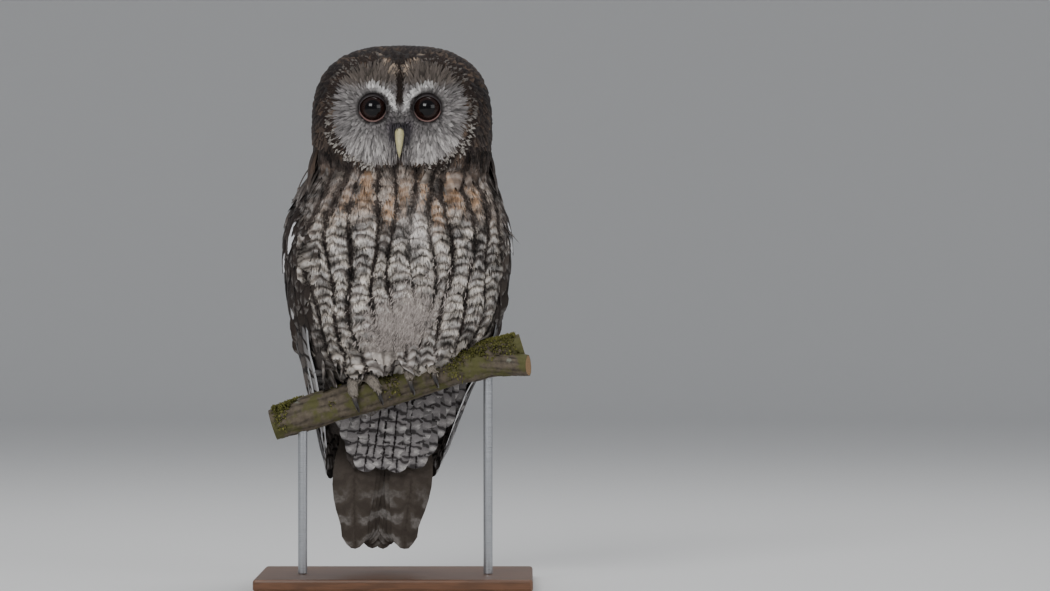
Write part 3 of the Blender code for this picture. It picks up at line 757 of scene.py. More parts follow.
@functools.lru_cache
def vane_group():
    """A feather's pattern: streak, bars, white web, barbs, and painted shade on its downy base and over its
    scales.
    """
    inputs = {label: "c" for label in SHARED_INPUTS} | {l: "f" for l in ("Streak", "Bars", "Barbs", "Spot")}
    tree, given, result = new_group("feather_vane", inputs, {"Color": "c", "Height": "f"})
    work, times, ease = (functools.partial(make, tree) for make in (maths, product, ramp))
    scaled = functools.partial(work, "MULTIPLY_ADD")
    uv = add_node(tree, "ShaderNodeUVMap", uv_map="vane").outputs[0]
    split = add_node(tree, "ShaderNodeSeparateXYZ", {0: uv}).outputs
    across = scaled(split[0], 2.0, -1.0)
    beside, along = work("ABSOLUTE", across), split[1]
    marks, tract = (
        add_node(tree, "ShaderNodeSeparateColor", {0: given[label]}).outputs for label in ("Marks", "Tract")
    )

    def pick(own, shared):
        """The feather's own value, or the one shared with its neighbours where the tract has one."""
        return scaled(work("SUBTRACT", shared, own), tract[2], own)

    # Noise that frays each edge, that makes the bars wander, and that varies whole patches.
    fray, wander, patchy = noise(tree, 420.0, 3.0, 0.6), noise(tree, 130.0, 1.0), noise(tree, 85.0, 2.0)
    edge = scaled(fray, 0.34, work("SUBTRACT", beside, 0.17))
    width = times(given["Streak"], ease(along, 0.3, 1.0, 1.25, 0.8))
    shared = scaled(tract[0], 0.1, scaled(fray, 0.5, -0.35))
    streak = times(ease(pick(work("SUBTRACT", edge, width), shared), 0.07, -0.05), marks[0])
    # The dark bars, and the paler ground between them.
    phase = pick(scaled(beside, -0.4, times(along, given["Bars"])), tract[1])
    phase = scaled(wander, pick(0.9, 1.1), phase)
    torn = scaled(wander, pick(0, -1.6), pick(-0.3, 0.25))
    wave = work("ADD", work("SINE", times(phase, 2 * math.pi)), torn)
    wave = scaled(fray, pick(0.6, 1.2), wave)
    broken = pick(1.0, ease(patchy, 0.6, 0.45, 0.55, 1.0))
    bars = times(ease(wave, pick(0.45, 0.3), pick(0.95, 1.25)), marks[1], broken)
    pale = blend_colours(tree, ease(fray, 0.3, 0.7, 0.3, 0.72), given["Ground"], shade(236, 232, 228))
    edge = pick(edge, scaled(tract[0], 0.3, -0.3))
    tip = work("MAXIMUM", ease(along, 0.55, 0.85), tract[2])
    light = times(ease(wave, pick(0.25, 0.5), -0.7), ease(edge, 0.05, 0.6), tip, marks[1])
    # White on the outer web: either between the bars and along the edge, or one oval spot near the tip.
    outer = work("MAXIMUM", ease(wave, 0.5, 0.0, 0.0, 0.4), ease(across, 0.7, 0.82))
    outer = times(outer, ease(across, 0.05, 0.35))
    fits = ((across, 2.0, -0.8), (along, 3.6, -2.7))
    squares = [work("POWER", scaled(*fit), 2.0) for fit in fits]
    oval = ease(scaled(fray, 0.8, work("ADD", *squares)), 1.5, 1.0)
    outer = scaled(work("SUBTRACT", oval, outer), given["Spot"], outer)
    colour = cover(
        tree, given["Ground"], (light, pale), (work("MAXIMUM", streak, bars), given["Dark"]),
        (times(marks[2], outer), shade(240, 240, 242)),
    )
    lines = scaled(wander, 0.04, scaled(beside, -0.45, along))
    barbs = times(ease(work("SINE", times(lines, given["Barbs"])), -1.0, 1.0), fray)
    # Painted shading: along a tract each pale scale is lit under the dark line and shaded towards the next.
    painted_scale_shade = ease(work("FRACT", work("SUBTRACT", phase, 0.25)), 0.0, 0.75, -0.42, 0.12)
    # The painted shade also deepens beside the streaks and varies in patches.
    painted_scale_shade = scaled(painted_scale_shade, marks[1], ease(tract[0], 0.8, 2.8, 0.68, 1.06))
    painted_scale_shade = times(painted_scale_shade, ease(patchy, 0.34, 0.6, 0.5, 1.22))
    # The base of each feather is darker: partly its own grey down, partly painted shade under the feathers
    # above.
    barbs_down_and_painted_shade = times(ease(barbs, 0.0, 0.6, 0.72, 1.12), ease(along, 0.15, 0.62, 0.45, 1.0), pick(1.0, painted_scale_shade))
    dimmed = add_node(tree, "ShaderNodeCombineColor", {0: barbs_down_and_painted_shade, 1: barbs_down_and_painted_shade, 2: barbs_down_and_painted_shade}).outputs[0]
    colour = blend_colours(tree, 1.0, colour, dimmed, "MULTIPLY")
    feed(tree, result, {"Color": colour, "Height": scaled(ease(beside, 0.06, 0.0), 0.6, barbs)})
    return tree


@functools.lru_cache
def feather_material(name, streak=0.2, bars=3.0, barbs=180.0, roughness=0.75, bump=0.35, spot=0.0):
    """Feathers that carry their markings as attributes; the shared group draws them on each vane."""
    material, tree = new_material(name)
    values = {label: attribute(tree, label.lower(), "Color") for label in SHARED_INPUTS}
    values |= {"Streak": streak, "Bars": bars, "Barbs": barbs, "Spot": spot}
    drawn = add_node(tree, "ShaderNodeGroup", values, node_tree=vane_group()).outputs
    return finished(
        material, drawn["Color"], roughness, (drawn["Height"], bump, 0.3 * MM),
        Specular_IOR_Level=0.12, Sheen_Weight=0.03, Sheen_Roughness=0.5,
    )


@functools.lru_cache
def skin_material():
    """The skin and down under the feathers: the same markings, finer and duller, on a ground darkened as
    painted shade.
    """
    material, tree = new_material("skin_and_down")
    fluff = noise(tree, 700.0, 5.0, 0.65)
    marks = add_node(tree, "ShaderNodeSeparateColor", {0: attribute(tree, "marks", "Color")}).outputs
    patch = product(tree, marks[0], 0.7, ramp(tree, fluff, 0.42, 0.62))
    mixed = blend_colours(tree, patch, attribute(tree, "ground", "Color"), attribute(tree, "dark", "Color"))
    return finished(material, mixed, 0.9, (fluff, 0.6, 0.6 * MM))


@functools.lru_cache
def claw_material():
    """Claws: dark horn, a little paler at the root, with fine lengthwise streaks."""
    material, tree = new_material("claw_horn")
    pale = shade(74, 66, 60)
    streaks = noise(tree, 900.0, 2.0)
    mixed = cover(
        tree, shade(34, 30, 30),
        (ramp(tree, attribute(tree, "along"), 0.25, 0.0), pale),
        (ramp(tree, streaks, 0.5, 0.75, 0.0, 0.35), pale),
    )
    return finished(material, mixed, 0.3, (streaks, 0.15, 0.2 * MM), Coat_Weight=0.3)


@functools.lru_cache
def eye_material(iris):
    """The eyeball by its angle from the front: black pupil, dark iris with fine spokes, black rim."""
    material, tree = new_material("eye_glass")
    theta = attribute(tree, "theta")
    dark = shade(6, 4, 6)
    spokes = ramp(tree, noise(tree, 1400.0, 2.0), 0.35, 0.7, 0.0, 0.6)
    tone = blend_colours(tree, spokes, opaque(iris), opaque(np.array(iris) * 1.8))
    mixed = cover(
        tree, dark,
        (ramp(tree, theta, math.radians(30), math.radians(34)), tone),
        (ramp(tree, theta, math.radians(54), math.radians(60)), dark),
    )
    return finished(material, mixed, 0.06, IOR=1.36)


@functools.lru_cache
def lid_material(edge):
    """Eyelids: nearly black and finely wrinkled, fleshy along the lower edge."""
    material, tree = new_material("eyelid")
    wrinkles = noise(tree, 1500.0, 3.0)
    low_edge = ramp(tree, attribute(tree, "lower"), 0.2, 1.0, 0.0, 0.7)
    flesh = product(tree, attribute(tree, "edge"), low_edge)
    mixed = cover(tree, shade(22, 18, 20), (wrinkles, shade(52, 44, 44)), (flesh, opaque(edge)))
    return finished(material, mixed, 0.5, (wrinkles, 0.3, 0.2 * MM))


@functools.lru_cache
def bill_material(tone):
    """The bill: yellow horn on its ridge and tip, greener and darker at the sides and base."""
    material, tree = new_material("bill_horn")
    cloud = noise(tree, 300.0, 3.0)
    base = shade(96, 92, 78)
    mixed = cover(
        tree, base,
        (ramp(tree, attribute(tree, "ridge"), -0.5, 0.7), opaque(tone)),
        (ramp(tree, attribute(tree, "along"), 0.35, 0.1), base),
        (ramp(tree, cloud, 0.5, 0.75, 0.0, 0.4), shade(150, 140, 108)),
    )
    return finished(material, mixed, 0.38, (cloud, 0.12, 0.3 * MM), Coat_Weight=0.2)


@functools.lru_cache
def bark_material():
    """Bark by its height, with green and grey lichen on top, and growth rings on the sawn ends."""
    material, tree = new_material("mossy_bark")
    height, core = attribute(tree, "bark"), attribute(tree, "core")
    grain = noise(tree, 420.0, 5.0, 0.65)
    cloud = noise(tree, 60.0, 4.0, 0.6)
    bark = cover(
        tree, shade(40, 34, 28),
        (ramp(tree, height, -0.9, 0.35), shade(104, 94, 80)),
        (ramp(tree, grain, 0.35, 0.7, 0.0, 0.5), shade(66, 56, 46)),
        (ramp(tree, cloud, 0.46, 0.6, 0.0, 0.85), shade(84, 84, 42)),
        (ramp(tree, cloud, 0.38, 0.3, 0.0, 0.7), shade(134, 136, 124)),
    )
    rings = maths(tree, "SINE", maths(tree, "MULTIPLY_ADD", cloud, 4.0, product(tree, core, 42.0)))
    wood = cover(
        tree, shade(170, 138, 98),
        (ramp(tree, rings, -0.6, 0.9), shade(134, 100, 66)),
        (ramp(tree, grain, 0.4, 0.7, 0.0, 0.4), shade(112, 84, 58)),
    )
    mixed = blend_colours(tree, ramp(tree, core, 0.97, 0.9), bark, wood)
    relief = maths(tree, "MULTIPLY_ADD", rings, 0.1, grain)
    return finished(material, mixed, 0.88, (relief, 0.5, 0.5 * MM))


@functools.lru_cache
def wood_material(tone):
    """The base's wood: long grain along X that wanders, with fine pores."""
    material, tree = new_material("stand_wood_grain")
    tone = np.array(tone)
    grain = noise(tree, 1.6, 4.0, 0.55, stretched(tree, 6.0, 60.0, 60.0))
    pores = noise(tree, 1.0, 2.0, place=stretched(tree, 60.0, 1400.0, 1400.0))
    bands = maths(tree, "SINE", product(tree, grain, 34.0))
    mixed = cover(
        tree, opaque(tone * 0.72),
        (ramp(tree, bands, -1.0, 1.0), opaque(tone)),
        (ramp(tree, pores, 0.45, 0.7, 0.0, 0.5), opaque(tone * 0.5)),
    )
    return finished(material, mixed, 0.42, (pores, 0.1, 0.1 * MM), Coat_Weight=0.25, Coat_Roughness=0.3)


@functools.lru_cache
def steel_material():
    """Brushed steel: fine scratches round the rod vary how rough it is."""
    material, tree = new_material("stand_steel_brushed")
    scratches = noise(tree, 1.0, 2.0, place=stretched(tree, 60.0, 60.0, 4000.0))
    tone = blend_colours(tree, scratches, shade(168, 170, 174), shade(196, 198, 202))
    roughness = ramp(tree, scratches, 0.3, 0.7, 0.26, 0.44)
    return finished(material, tone, roughness, (scratches, 0.05, 0.05 * MM), Metallic=1.0)


# ---------------------------------------------------------------- settings


def length_setting(name, description, default):
    """A length that a user may set, given in millimetres."""
    return FloatProperty(name=name, description=description, default=default * MM, unit="LENGTH")


def colour_setting(name, description, *default):
    """A colour that a user may set, given as 0 to 255 on a screen."""
    return FloatVectorProperty(
        name=name, description=description, subtype="COLOR", default=tuple(srgb(*default))
    )


class OwlPlumageSettings(bpy.types.PropertyGroup):
    """Sizes of the owl's feathers."""

    breast_length: length_setting("Breast feathers", "Length of a breast feather", 31)
    breast_width: length_setting("Breast width", "Width of a breast feather", 22)
    crown_length: length_setting("Crown feathers", "Length of a feather on the crown", 12)
    covert_length: length_setting("Wing coverts", "Length of a middle wing covert", 24)
    quill_width: length_setting("Flight feathers", "Width of a flight feather", 19)
    tail_width: length_setting("Tail feathers", "Width of a tail feather", 34)


class OwlFaceSettings(bpy.types.PropertyGroup):
    """Colours of the owl's eyes, lids and bill."""

    iris: colour_setting("Iris", "Colour of the iris", 30, 17, 14)
    lid: colour_setting("Lid edge", "Colour of the bare edge of the eyelids", 140, 106, 100)
    bill: colour_setting("Bill", "Colour of the bill's ridge", 196, 188, 142)


class OwlStandSettings(bpy.types.PropertyGroup):
    """The perch's moss and the stand's wood."""

    moss_tufts: IntProperty(
        name="Moss tufts", description="How many tufts of moss grow on the perch", default=3600, min=0
    )
    wood: colour_setting("Base wood", "Colour of the wooden base", 112, 74, 48)


class OwlStageSettings(bpy.types.PropertyGroup):
    """The studio round the owl."""

    distance: length_setting("Camera distance", "How far the camera stands from the owl", 3000)
    frame_width: length_setting("Frame width", "How wide a strip the camera sees at the owl", 806)
    backdrop: FloatVectorProperty(
        name="Backdrop", description="Colour of the floor and wall", subtype="COLOR",
        default=(0.78, 0.78, 0.77),
    )


# ---------------------------------------------------------------- the skin


class OWL_OT_skin(bpy.types.Operator):
    """One skin for the whole owl, under its feathers by the depth of the coat"""

    bl_idname = "owl.skin"
    bl_label = "Skin"

    def execute(self, context):
        form = outer_form()[0]
        skin = form.copy()
        points = read_vectors(form.vertices, "co")
        normals = read_vectors(form.vertex_normals, "vector")
        z = points[:, 2]
        face = smooth(points[:, 1], -0.03, -0.04) * smooth(z, 0.312, 0.32)
        feet = smooth(z, 0.185, 0.175) * smooth(points[:, 1], 0.012, 0.004)
        depth = 3.4 * MM - 1.2 * MM * smooth(z, 0.31, 0.33)
        depth = between(between(depth, 1.5 * MM, face), 0.7 * MM, feet)
        skin.vertices.foreach_set("co", (points - normals * depth[:, None]).astype(np.float32).ravel())
        skin.update()
        ground, dark, marks = plumage(points)
        # The ground is darkened to 0.6 as painted shade under the coat.
        set_attribute(skin, "ground", ground * 0.6)
        set_attribute(skin, "dark", dark)
        set_attribute(skin, "marks", marks)
        add_piece("owl_skin", skin, skin_material(), FLESH)
        return {"FINISHED"}


# ---------------------------------------------------------------- body feathers


def off_perch(points):
    """How far points are from the perch's middle line."""
    away = points - perch_point(points[:, 0], 0.0, 0.0)
    return np.hypot(away[:, 1], away[:, 2])


def down_body(points, back=0.0):
    """The lie of the body's feathers: straight down, with a share backwards."""
    way = np.zeros_like(points)
    way[:, 2] = -1
    angle = np.radians(body_angle(points)) + BODY_TURN
    way[:, 0] += back * np.cos(angle) * np.sign(np.sin(angle))
    way[:, 1] += back * np.abs(np.sin(angle))
    return way


# How far below the outer form a body feather starts and ends.
DEEP = (3.4 * MM, 0.3 * MM)
# Loose barbs are narrow, smooth strips of a few faces.
WISP = {"grid": (4, 3), "rag": 0.0, "cup": 0.3, "rounding": 0.0}


class OWL_OT_wisps(bpy.types.Operator):
    """Fine loose barbs all over the breast and belly, dark along the streaks, that soften the feathers"""

    bl_idname = "owl.wisps"
    bl_label = "Breast wisps"

    def execute(self, context):
        rng = np.random.default_rng(14)
        angle, z = rng.uniform(-80, 80, 11900), rng.uniform(0.184, 0.332, 11900)
        points, normals, met = body_roots(angle, z)
        keep = met & (np.abs(angle) < wing_front(z) + 3) & (disc_share(points) > 1.06) & (normals[:, 2] < 0.8)
        points, normals, angle, z = only(keep, points, normals, angle, z)
        size = 9 * MM - 2.5 * MM * smooth(z, 0.29, 0.26)
        lay_feathers(
            "breast_wisps", (points, normals), down_body(points), size, 1.3 * MM, (angle, z), rng,
            **WISP, depth=(0.6 * MM, -0.2 * MM), loft=-0.5 * MM, taper=(0.9, 0.2), swing=0.24, spread=0.2,
            cling=3 * MM, tract=True, colours=plumage(points + size[:, None] * [0, 0, -0.7]),
            material=feather_material("wisp_vanes", barbs=60.0),
        )
        return {"FINISHED"}


class OWL_OT_breast(bpy.types.Operator):
    """Breast and belly feathers in columns, so that their dark streaks run on from one to the next"""

    bl_idname = "owl.breast"
    bl_label = "Breast and belly"

    def execute(self, context):
        settings = context.scene.owl_plumage
        rng = np.random.default_rng(11)
        on_streaks = np.meshgrid(np.arange(-6.5, 7) * COLUMN_PITCH, np.arange(0.334, 0.15, -7.4 * MM))
        between = np.meshgrid(np.arange(-7, 8) * COLUMN_PITCH, np.arange(0.336, 0.27, -7.4 * MM))
        angle, z = (np.concatenate([a.ravel(), b.ravel()]) for a, b in zip(on_streaks, between))
        angle, z = column_angle(angle, z), z + 3 * MM * np.sin(angle * 0.9)
        angle = angle + rng.normal(0, 0.7, len(angle))
        z = z + rng.normal(0, 1.1 * MM, len(z))
        points, normals, met = body_roots(angle, z)
        keep = met & (np.abs(angle) < wing_front(z) + 8 + 10 * smooth(z, 0.2, 0.185))
        keep &= ~((z > 0.318) & (points[:, 1] < 0.03) & (disc_share(points) < 1.02))
        keep &= (off_perch(points) > 25 * MM) & ((z > 0.166) | (np.abs(angle) > 35))
        points, normals, angle, z = only(keep, points, normals, angle, z)
        high = smooth(z, 0.255, 0.285)
        cling = 2 * MM + 6 * MM * np.maximum(smooth(z, 0.19, 0.21), smooth(np.abs(angle), 30, 45))
        groups = (
            (high < 0.5, "belly_feathers", 1.0, 0.13, {"rounding": 0.14, "taper": (0.55, 0.72)}),
            (high >= 0.5, "breast_feathers", 0.68, 0.2, {"rounding": 0.3, "taper": (0.6, 0.4)}),
        )
        for chosen, name, slim, streak, shape in groups:
            lay_feathers(
                name, only(chosen, points, normals), down_body(points[chosen]), settings.breast_length,
                settings.breast_width * slim, only(chosen, angle, z), rng, **shape,
                grid=(6, 11), depth=DEEP, cup=0.14, swing=0.07, cling=cling[chosen], tract=True,
                material=feather_material(name + "_vanes", streak=streak, bars=3.4, barbs=260.0),
            )
        return {"FINISHED"}


class OWL_OT_down(bpy.types.Operator):
    """Loose, unmarked down low in the middle of the belly"""

    bl_idname = "owl.down"
    bl_label = "Belly down"

    def execute(self, context):
        rng = np.random.default_rng(13)
        z = rng.normal(0.203, 0.018, 1700)
        angle = rng.normal(-5, 14, 1700) + (z - 0.205) / (2.2 * MM)
        points, normals, met = body_roots(angle, z)
        keep = met & (normals[:, 2] < 0.75) & (z > 0.184) & (np.abs(angle) < 40)
        points, normals, angle, z = only(keep, points, normals, angle, z)
        ground = DOWN * (0.7 + 0.5 * rng.random((len(points), 1)))
        lay_feathers(
            "belly_down", (points, normals), down_body(points) - [0.35, 0, 0], 8 * MM, 1.2 * MM,
            (angle, z), rng, **WISP,
            depth=(0.8 * MM, -0.2 * MM), loft=-0.6 * MM, taper=(0.9, 0.2), swing=0.35,
            colours=markings(len(points), ground, GREY),
            material=feather_material("down_vanes", streak=0.1, bars=0.5, barbs=60.0),
        )
        return {"FINISHED"}


def wing_front(z):
    """Where the folded wing's front edge lies, in degrees round the body from the breast."""
    heights = [0.06, 0.11, 0.15, 0.185, 0.205, 0.23, 0.262, 0.28, 0.303]
    return np.interp(z, heights, [84, 77, 71, 68, 63, 58, 55, 62, 78])


def wing_back(z):
    """Where the folded wing's back edge lies, in degrees round the body from the breast."""
    heights = [0.06, 0.11, 0.15, 0.185, 0.262, 0.28, 0.303]
    return np.interp(z, heights, [170, 172, 168, 162, 148, 140, 122])


def back_vanes():
    """The material that the back and the shoulders share."""
    return feather_material("back_vanes", streak=0.15, bars=1.7, barbs=200.0)


class OWL_OT_back(bpy.types.Operator):
    """Mantle feathers from the nape down between the wings"""

    bl_idname = "owl.back"
    bl_label = "Back"

    def execute(self, context):
        rng = np.random.default_rng(12)
        z, share = staggered(np.arange(0.336, 0.118, -6 * MM), lambda row: 25, 0.2, rng)
        angle = 76 + 208 * share
        points, normals, met = body_roots(angle, z)
        keep = met & ((np.abs(body_angle(points)) > wing_back(z) - 6) | (z > 0.292))
        points, normals, angle, z = only(keep, points, normals, angle, z)
        # The tops of the shoulders face upwards, so their roots are found from a ring of points above them.
        out, turn = staggered(np.arange(50, 92, 6.0) * MM, lambda row: 26, 0.2, rng)
        turn = np.radians(62 + 236 * turn)
        ring = 0.314
        way = turned(np.sin(turn), -np.cos(turn), ring) - turned(0, 0, ring)
        tops, ups = nearest(body_axis(np.full(len(out), ring)) + out[:, None] * way)
        lie = np.concatenate([down_body(points), 0.5 * way + [0, 0, -1]])
        place = (np.append(angle, np.degrees(turn)), np.append(z, 0.34 + out / 3))
        lay_feathers(
            "back_feathers", (np.concatenate([points, tops]), np.concatenate([normals, ups])), lie,
            26 * MM, 17 * MM, place, rng,
            grid=(6, 9), depth=DEEP, rag=0.08, cup=0.1, spread=0.16, cling=20 * MM, trim=True,
            material=back_vanes(),
        )
        return {"FINISHED"}


# ---------------------------------------------------------------- wings


def wing_coverts(side, name, size, material, webs, rng):
    """Scaled coverts in rows down the wing, white-tipped in one row at the back."""
    heights, share = staggered(0.309 - np.cumsum(np.linspace(5, 10, 21)) * MM, lambda row: 12, 0.15, rng)
    front, back = wing_front(heights), wing_back(heights)
    angle = front - 2 + (back + 2 - front) * share
    end = 0.21 - 0.074 * np.clip(share, 0, 1) ** 0.8
    points, normals, met = body_roots(side * angle, heights)
    keep = met & (heights > end + 4 * MM)
    points, normals, heights, share = only(keep, points, normals, heights, share)
    large = smooth(heights, 0.295, 0.22)
    ground, dark, marks = plumage(points)
    ground = between(ground, UMBER * 0.8, 0.9 * smooth(share, 0.6, 0.4)[:, None])
    marks[:, 1] = 0.22
    marks[:, 2] = bell(share, 0.83, 0.06) * smooth(heights, 0.285, 0.27) * smooth(heights, 0.17, 0.19)
    lay_feathers(
        f"wing_coverts_{name}", (points, normals), down_body(points, 0.12), size * (0.7 + 0.75 * large),
        (12 + 5 * large) * MM, (share, heights), rng,
        grid=(7, 9), depth=(3.0 * MM, 0.2 * MM), rag=0.05, cup=0.05, taper=(0.5, 0.55), cling=14 * MM,
        colours=(ground, dark, marks), spread=0.2, trim=True, webs=webs, material=material,
    )


def wing_patches(side, name, material, webs, rng):
    """Three longer feathers, each with a white patch, that slant down near the wing's front edge."""
    # Each path goes from an angle round the body and a height to another.
    ends = np.array([[(73, 0.304), (77, 0.252)], [(83, 0.27), (87, 0.238)], [(80, 0.234), (84, 0.203)]])
    t = np.linspace(0, 1, 9)
    angle, heights = np.moveaxis(between(ends[:, :1], ends[:, 1:], t[:, None]), 2, 0)
    points, normals, _ = body_roots(side * angle.ravel(), heights.ravel())
    points, normals = points.reshape(3, 9, 3), normals.reshape(3, 9, 3)
    normals = unit(normals.mean(1, keepdims=True) - [0, 0.25, 0]) + 0 * normals
    points = points - normals * ((1.4 - 2.1 * t) * MM)[:, None]
    half = np.array([[6.5], [5.5], [5.5]]) * MM * smooth(t, -0.5, 0.35) * (1 - 0.4 * smooth(t, 0.7, 1))
    vanes = long_vanes(points, normals, half, 0.22, 0.1, 0.02, rng)
    colours = markings(3, UMBER * 0.8, INK, [(0.5, 0.2, white, 0) for white in (1, 0.8, 0.55)])
    place = (angle[:, 0], heights[:, 0])
    vane_piece(f"wing_patches_{name}", vanes, colours, place, rng, material, webs=webs)


def shoulder(side, name, webs, rng):
    """Long feathers in three rows that bridge the dip between the neck and the top of the wing."""
    angle = np.repeat(np.linspace(76, 130, 20), 3) + rng.normal(0, 1.5, 60)
    heights = np.tile([0.333, 0.326, 0.319], 20) + rng.normal(0, 1 * MM, 60)
    tops, normals, _ = body_roots(side * angle, heights)
    ends, ups, _ = body_roots(side * angle, heights - 27 * MM)
    t = np.linspace(0, 1, 9)
    tops, ends = tops - 2.4 * MM * normals, ends - 0.2 * MM * ups
    points = between(tops[:, None], ends[:, None], t[:, None])
    normals = unit(normals + ups)[:, None] + 0 * points
    points = points + normals * (2.2 * MM * np.sin(math.pi * t))[:, None]
    half = np.full((60, 1), 4.5 * MM) * smooth(t, -0.5, 0.35) * (1 - 0.45 * smooth(t, 0.7, 1))
    vanes = long_vanes(points, normals, half, 0.15, 0.12, 0.05, rng)
    place = (angle, heights)
    vane_piece(f"shoulder_{name}", vanes, plumage(points[:, 5]), place, rng, back_vanes(), webs=webs)


class OWL_OT_wing_coverts(bpy.types.Operator):
    """The feathers on each folded wing above its flight feathers: coverts, white patches and shoulder"""

    bl_idname = "owl.wing_coverts"
    bl_label = "Wing coverts"

    def execute(self, context):
        size = context.scene.owl_plumage.covert_length
        material = feather_material("covert_vanes", streak=0.1, bars=1.7, barbs=300.0, spot=1.0)
        for side, name in SIDES:
            rng = np.random.default_rng(20 + side)
            webs = (0, 1) if side > 0 else (1, 0)
            wing_coverts(side, name, size, material, webs, rng)
            wing_patches(side, name, material, webs, rng)
            shoulder(side, name, webs, rng)
        return {"FINISHED"}


# ---------------------------------------------------------------- the head


class OWL_OT_crown(bpy.types.Operator):
    """Small feathers over the crown, nape and sides of the head, lying back from the face"""

    bl_idname = "owl.crown"
    bl_label = "Crown and nape"

    def execute(self, context):
        rng = np.random.default_rng(31)
        # A row has a feather for each 5 mm of its length, on a head of 62 mm radius.
        row_count = lambda polar: 2 * math.pi * 62 * math.sin(math.radians(polar)) / 5.0
        polar, share = staggered(np.arange(40, 179, 3.6), row_count, 0.25, rng)
        around = 360 * share - 90
        points, normals, met = head_roots(polar, around)
        near_face = points[:, 1] < -0.032
        keep = met & (points[:, 2] > 0.311) & ~(near_face & (disc_share(points) < 1.04))
        points, normals, polar, around = only(keep, points, normals, polar, around)
        fall = 0.35 + 1.6 * smooth(points[:, 1], -0.01, 0.05) + 0.8 * smooth(points[:, 2], 0.39, 0.33)
        lie = np.stack([0 * fall, 0 * fall + 1, -fall], -1)
        lay_feathers(
            "crown_feathers", (points, normals), lie, context.scene.owl_plumage.crown_length, 8.5 * MM,
            (around, polar), rng,
            depth=(2.2 * MM, 0.5 * MM), rag=0.12, cup=0.2, swing=0.16,
            material=feather_material("crown_vanes", streak=0.3, bars=1.6, barbs=130.0),
        )
        return {"FINISHED"}


class OWL_OT_facial_disc(bpy.types.Operator):
    """The fine, hair-like feathers of the facial disc, which spread outwards from each eye"""

    bl_idname = "owl.facial_disc"
    bl_label = "Facial disc"

    def execute(self, context):
        for side, name in SIDES:
            rng = np.random.default_rng(40 + side)
            row_count = lambda reach: 2 * math.pi * reach / (1.15 * MM)
            reach, share = staggered(np.arange(9.5, 60, 1.9) * MM, row_count, 0.3, rng)
            around = 2 * math.pi * share
            eye = EYES[side]
            x, z = eye[0] + reach * np.cos(around), eye[2] + reach * np.sin(around)
            start = in_front(x, z)
            rim = 0.93 - 0.07 * smooth(z, EYE_Z, DISC_Z - 34 * MM)
            keep = (side * (x - FACE_X) > -1 * MM) & (disc_share(start) < rim) & ~in_bill(start)
            start, reach, around = only(keep, start, reach, around)
            points, normals, met = face_roots(start)
            met &= points[:, 1] < -0.03
            points, normals, reach, around = only(met, points, normals, reach, around)
            lie = unit((points - eye) * [1, 0, 1])
            ridge = smooth(np.abs(points[:, 0] - FACE_X), 9 * MM, 2 * MM)
            lie[:, 2] += ridge * np.where(points[:, 2] > eye[2] - 6 * MM, 1.2, -1.0)
            size = (4.5 + 7.5 * smooth(reach, 11 * MM, 26 * MM)) * MM
            lay_feathers(
                f"facial_disc_{name}", (points, normals), lie, size, 1.9 * MM,
                (around, reach), rng, **WISP,
                depth=(1.5 * MM, 0.0), loft=0.5 * MM, taper=(0.8, 0.3), swing=0.14, slot="facial_disc",
                spread=0.24,
                material=feather_material("disc_vanes", streak=0.12, bars=0.7, barbs=60.0, roughness=0.85),
            )
        return {"FINISHED"}


def in_bill(points):
    """Whether points, seen from in front, fall on the bill."""
    return (
        (np.abs(points[:, 0] - FACE_X) < 3 * MM)
        & (points[:, 2] > BILL_LOW[2] - 2 * MM)
        & (points[:, 2] < BILL_HIGH[2] - 1 * MM)
    )


class OWL_OT_bristles(bpy.types.Operator):
    """Bristles beside the bill that lean forwards over its base"""

    bl_idname = "owl.bristles"
    bl_label = "Bristles"

    def execute(self, context):
        rng = np.random.default_rng(45)
        count = 460
        side = np.where(np.arange(count) % 2, 1, -1)
        up = rng.uniform(-9, 14, count) * MM
        across = rng.uniform(2.8 * MM * smooth(up, 12 * MM, 9 * MM), 8 * MM)
        points, normals, _ = face_roots(in_front(FACE_X + side * across, BILL_LOW[2] + 12 * MM + up))
        lie = np.stack([side * -0.1, np.full(count, -0.95), np.full(count, -0.75)], -1)
        lie = unit(lie + rng.normal(0, 0.1, lie.shape))
        size = rng.uniform(7, 12, count)[:, None] * MM
        droop = np.array([0, 0.3, -0.3])
        stations = [points - 1.5 * MM * normals, points + 0.5 * size * lie, points + size * (lie + droop)]
        normals = unit(np.stack([side * 0.8, np.full(count, -0.5), np.full(count, 0.2)], -1))
        vanes = blades(stations, normals, 1.1 * MM, (5, 3), 0.3, (0.9, 0.15), rng)
        pale = rng.random((count, 1)) * smooth(up, 8 * MM, -4 * MM)[:, None]
        ground = between(srgb(78, 74, 78), srgb(196, 190, 186), pale)
        vane_piece(
            "bill_bristles", vanes, markings(count, ground, INK), (side * across, up), rng,
            feather_material("bristle_vanes", barbs=60.0, roughness=0.85), slot="facial_disc",
        )
        return {"FINISHED"}


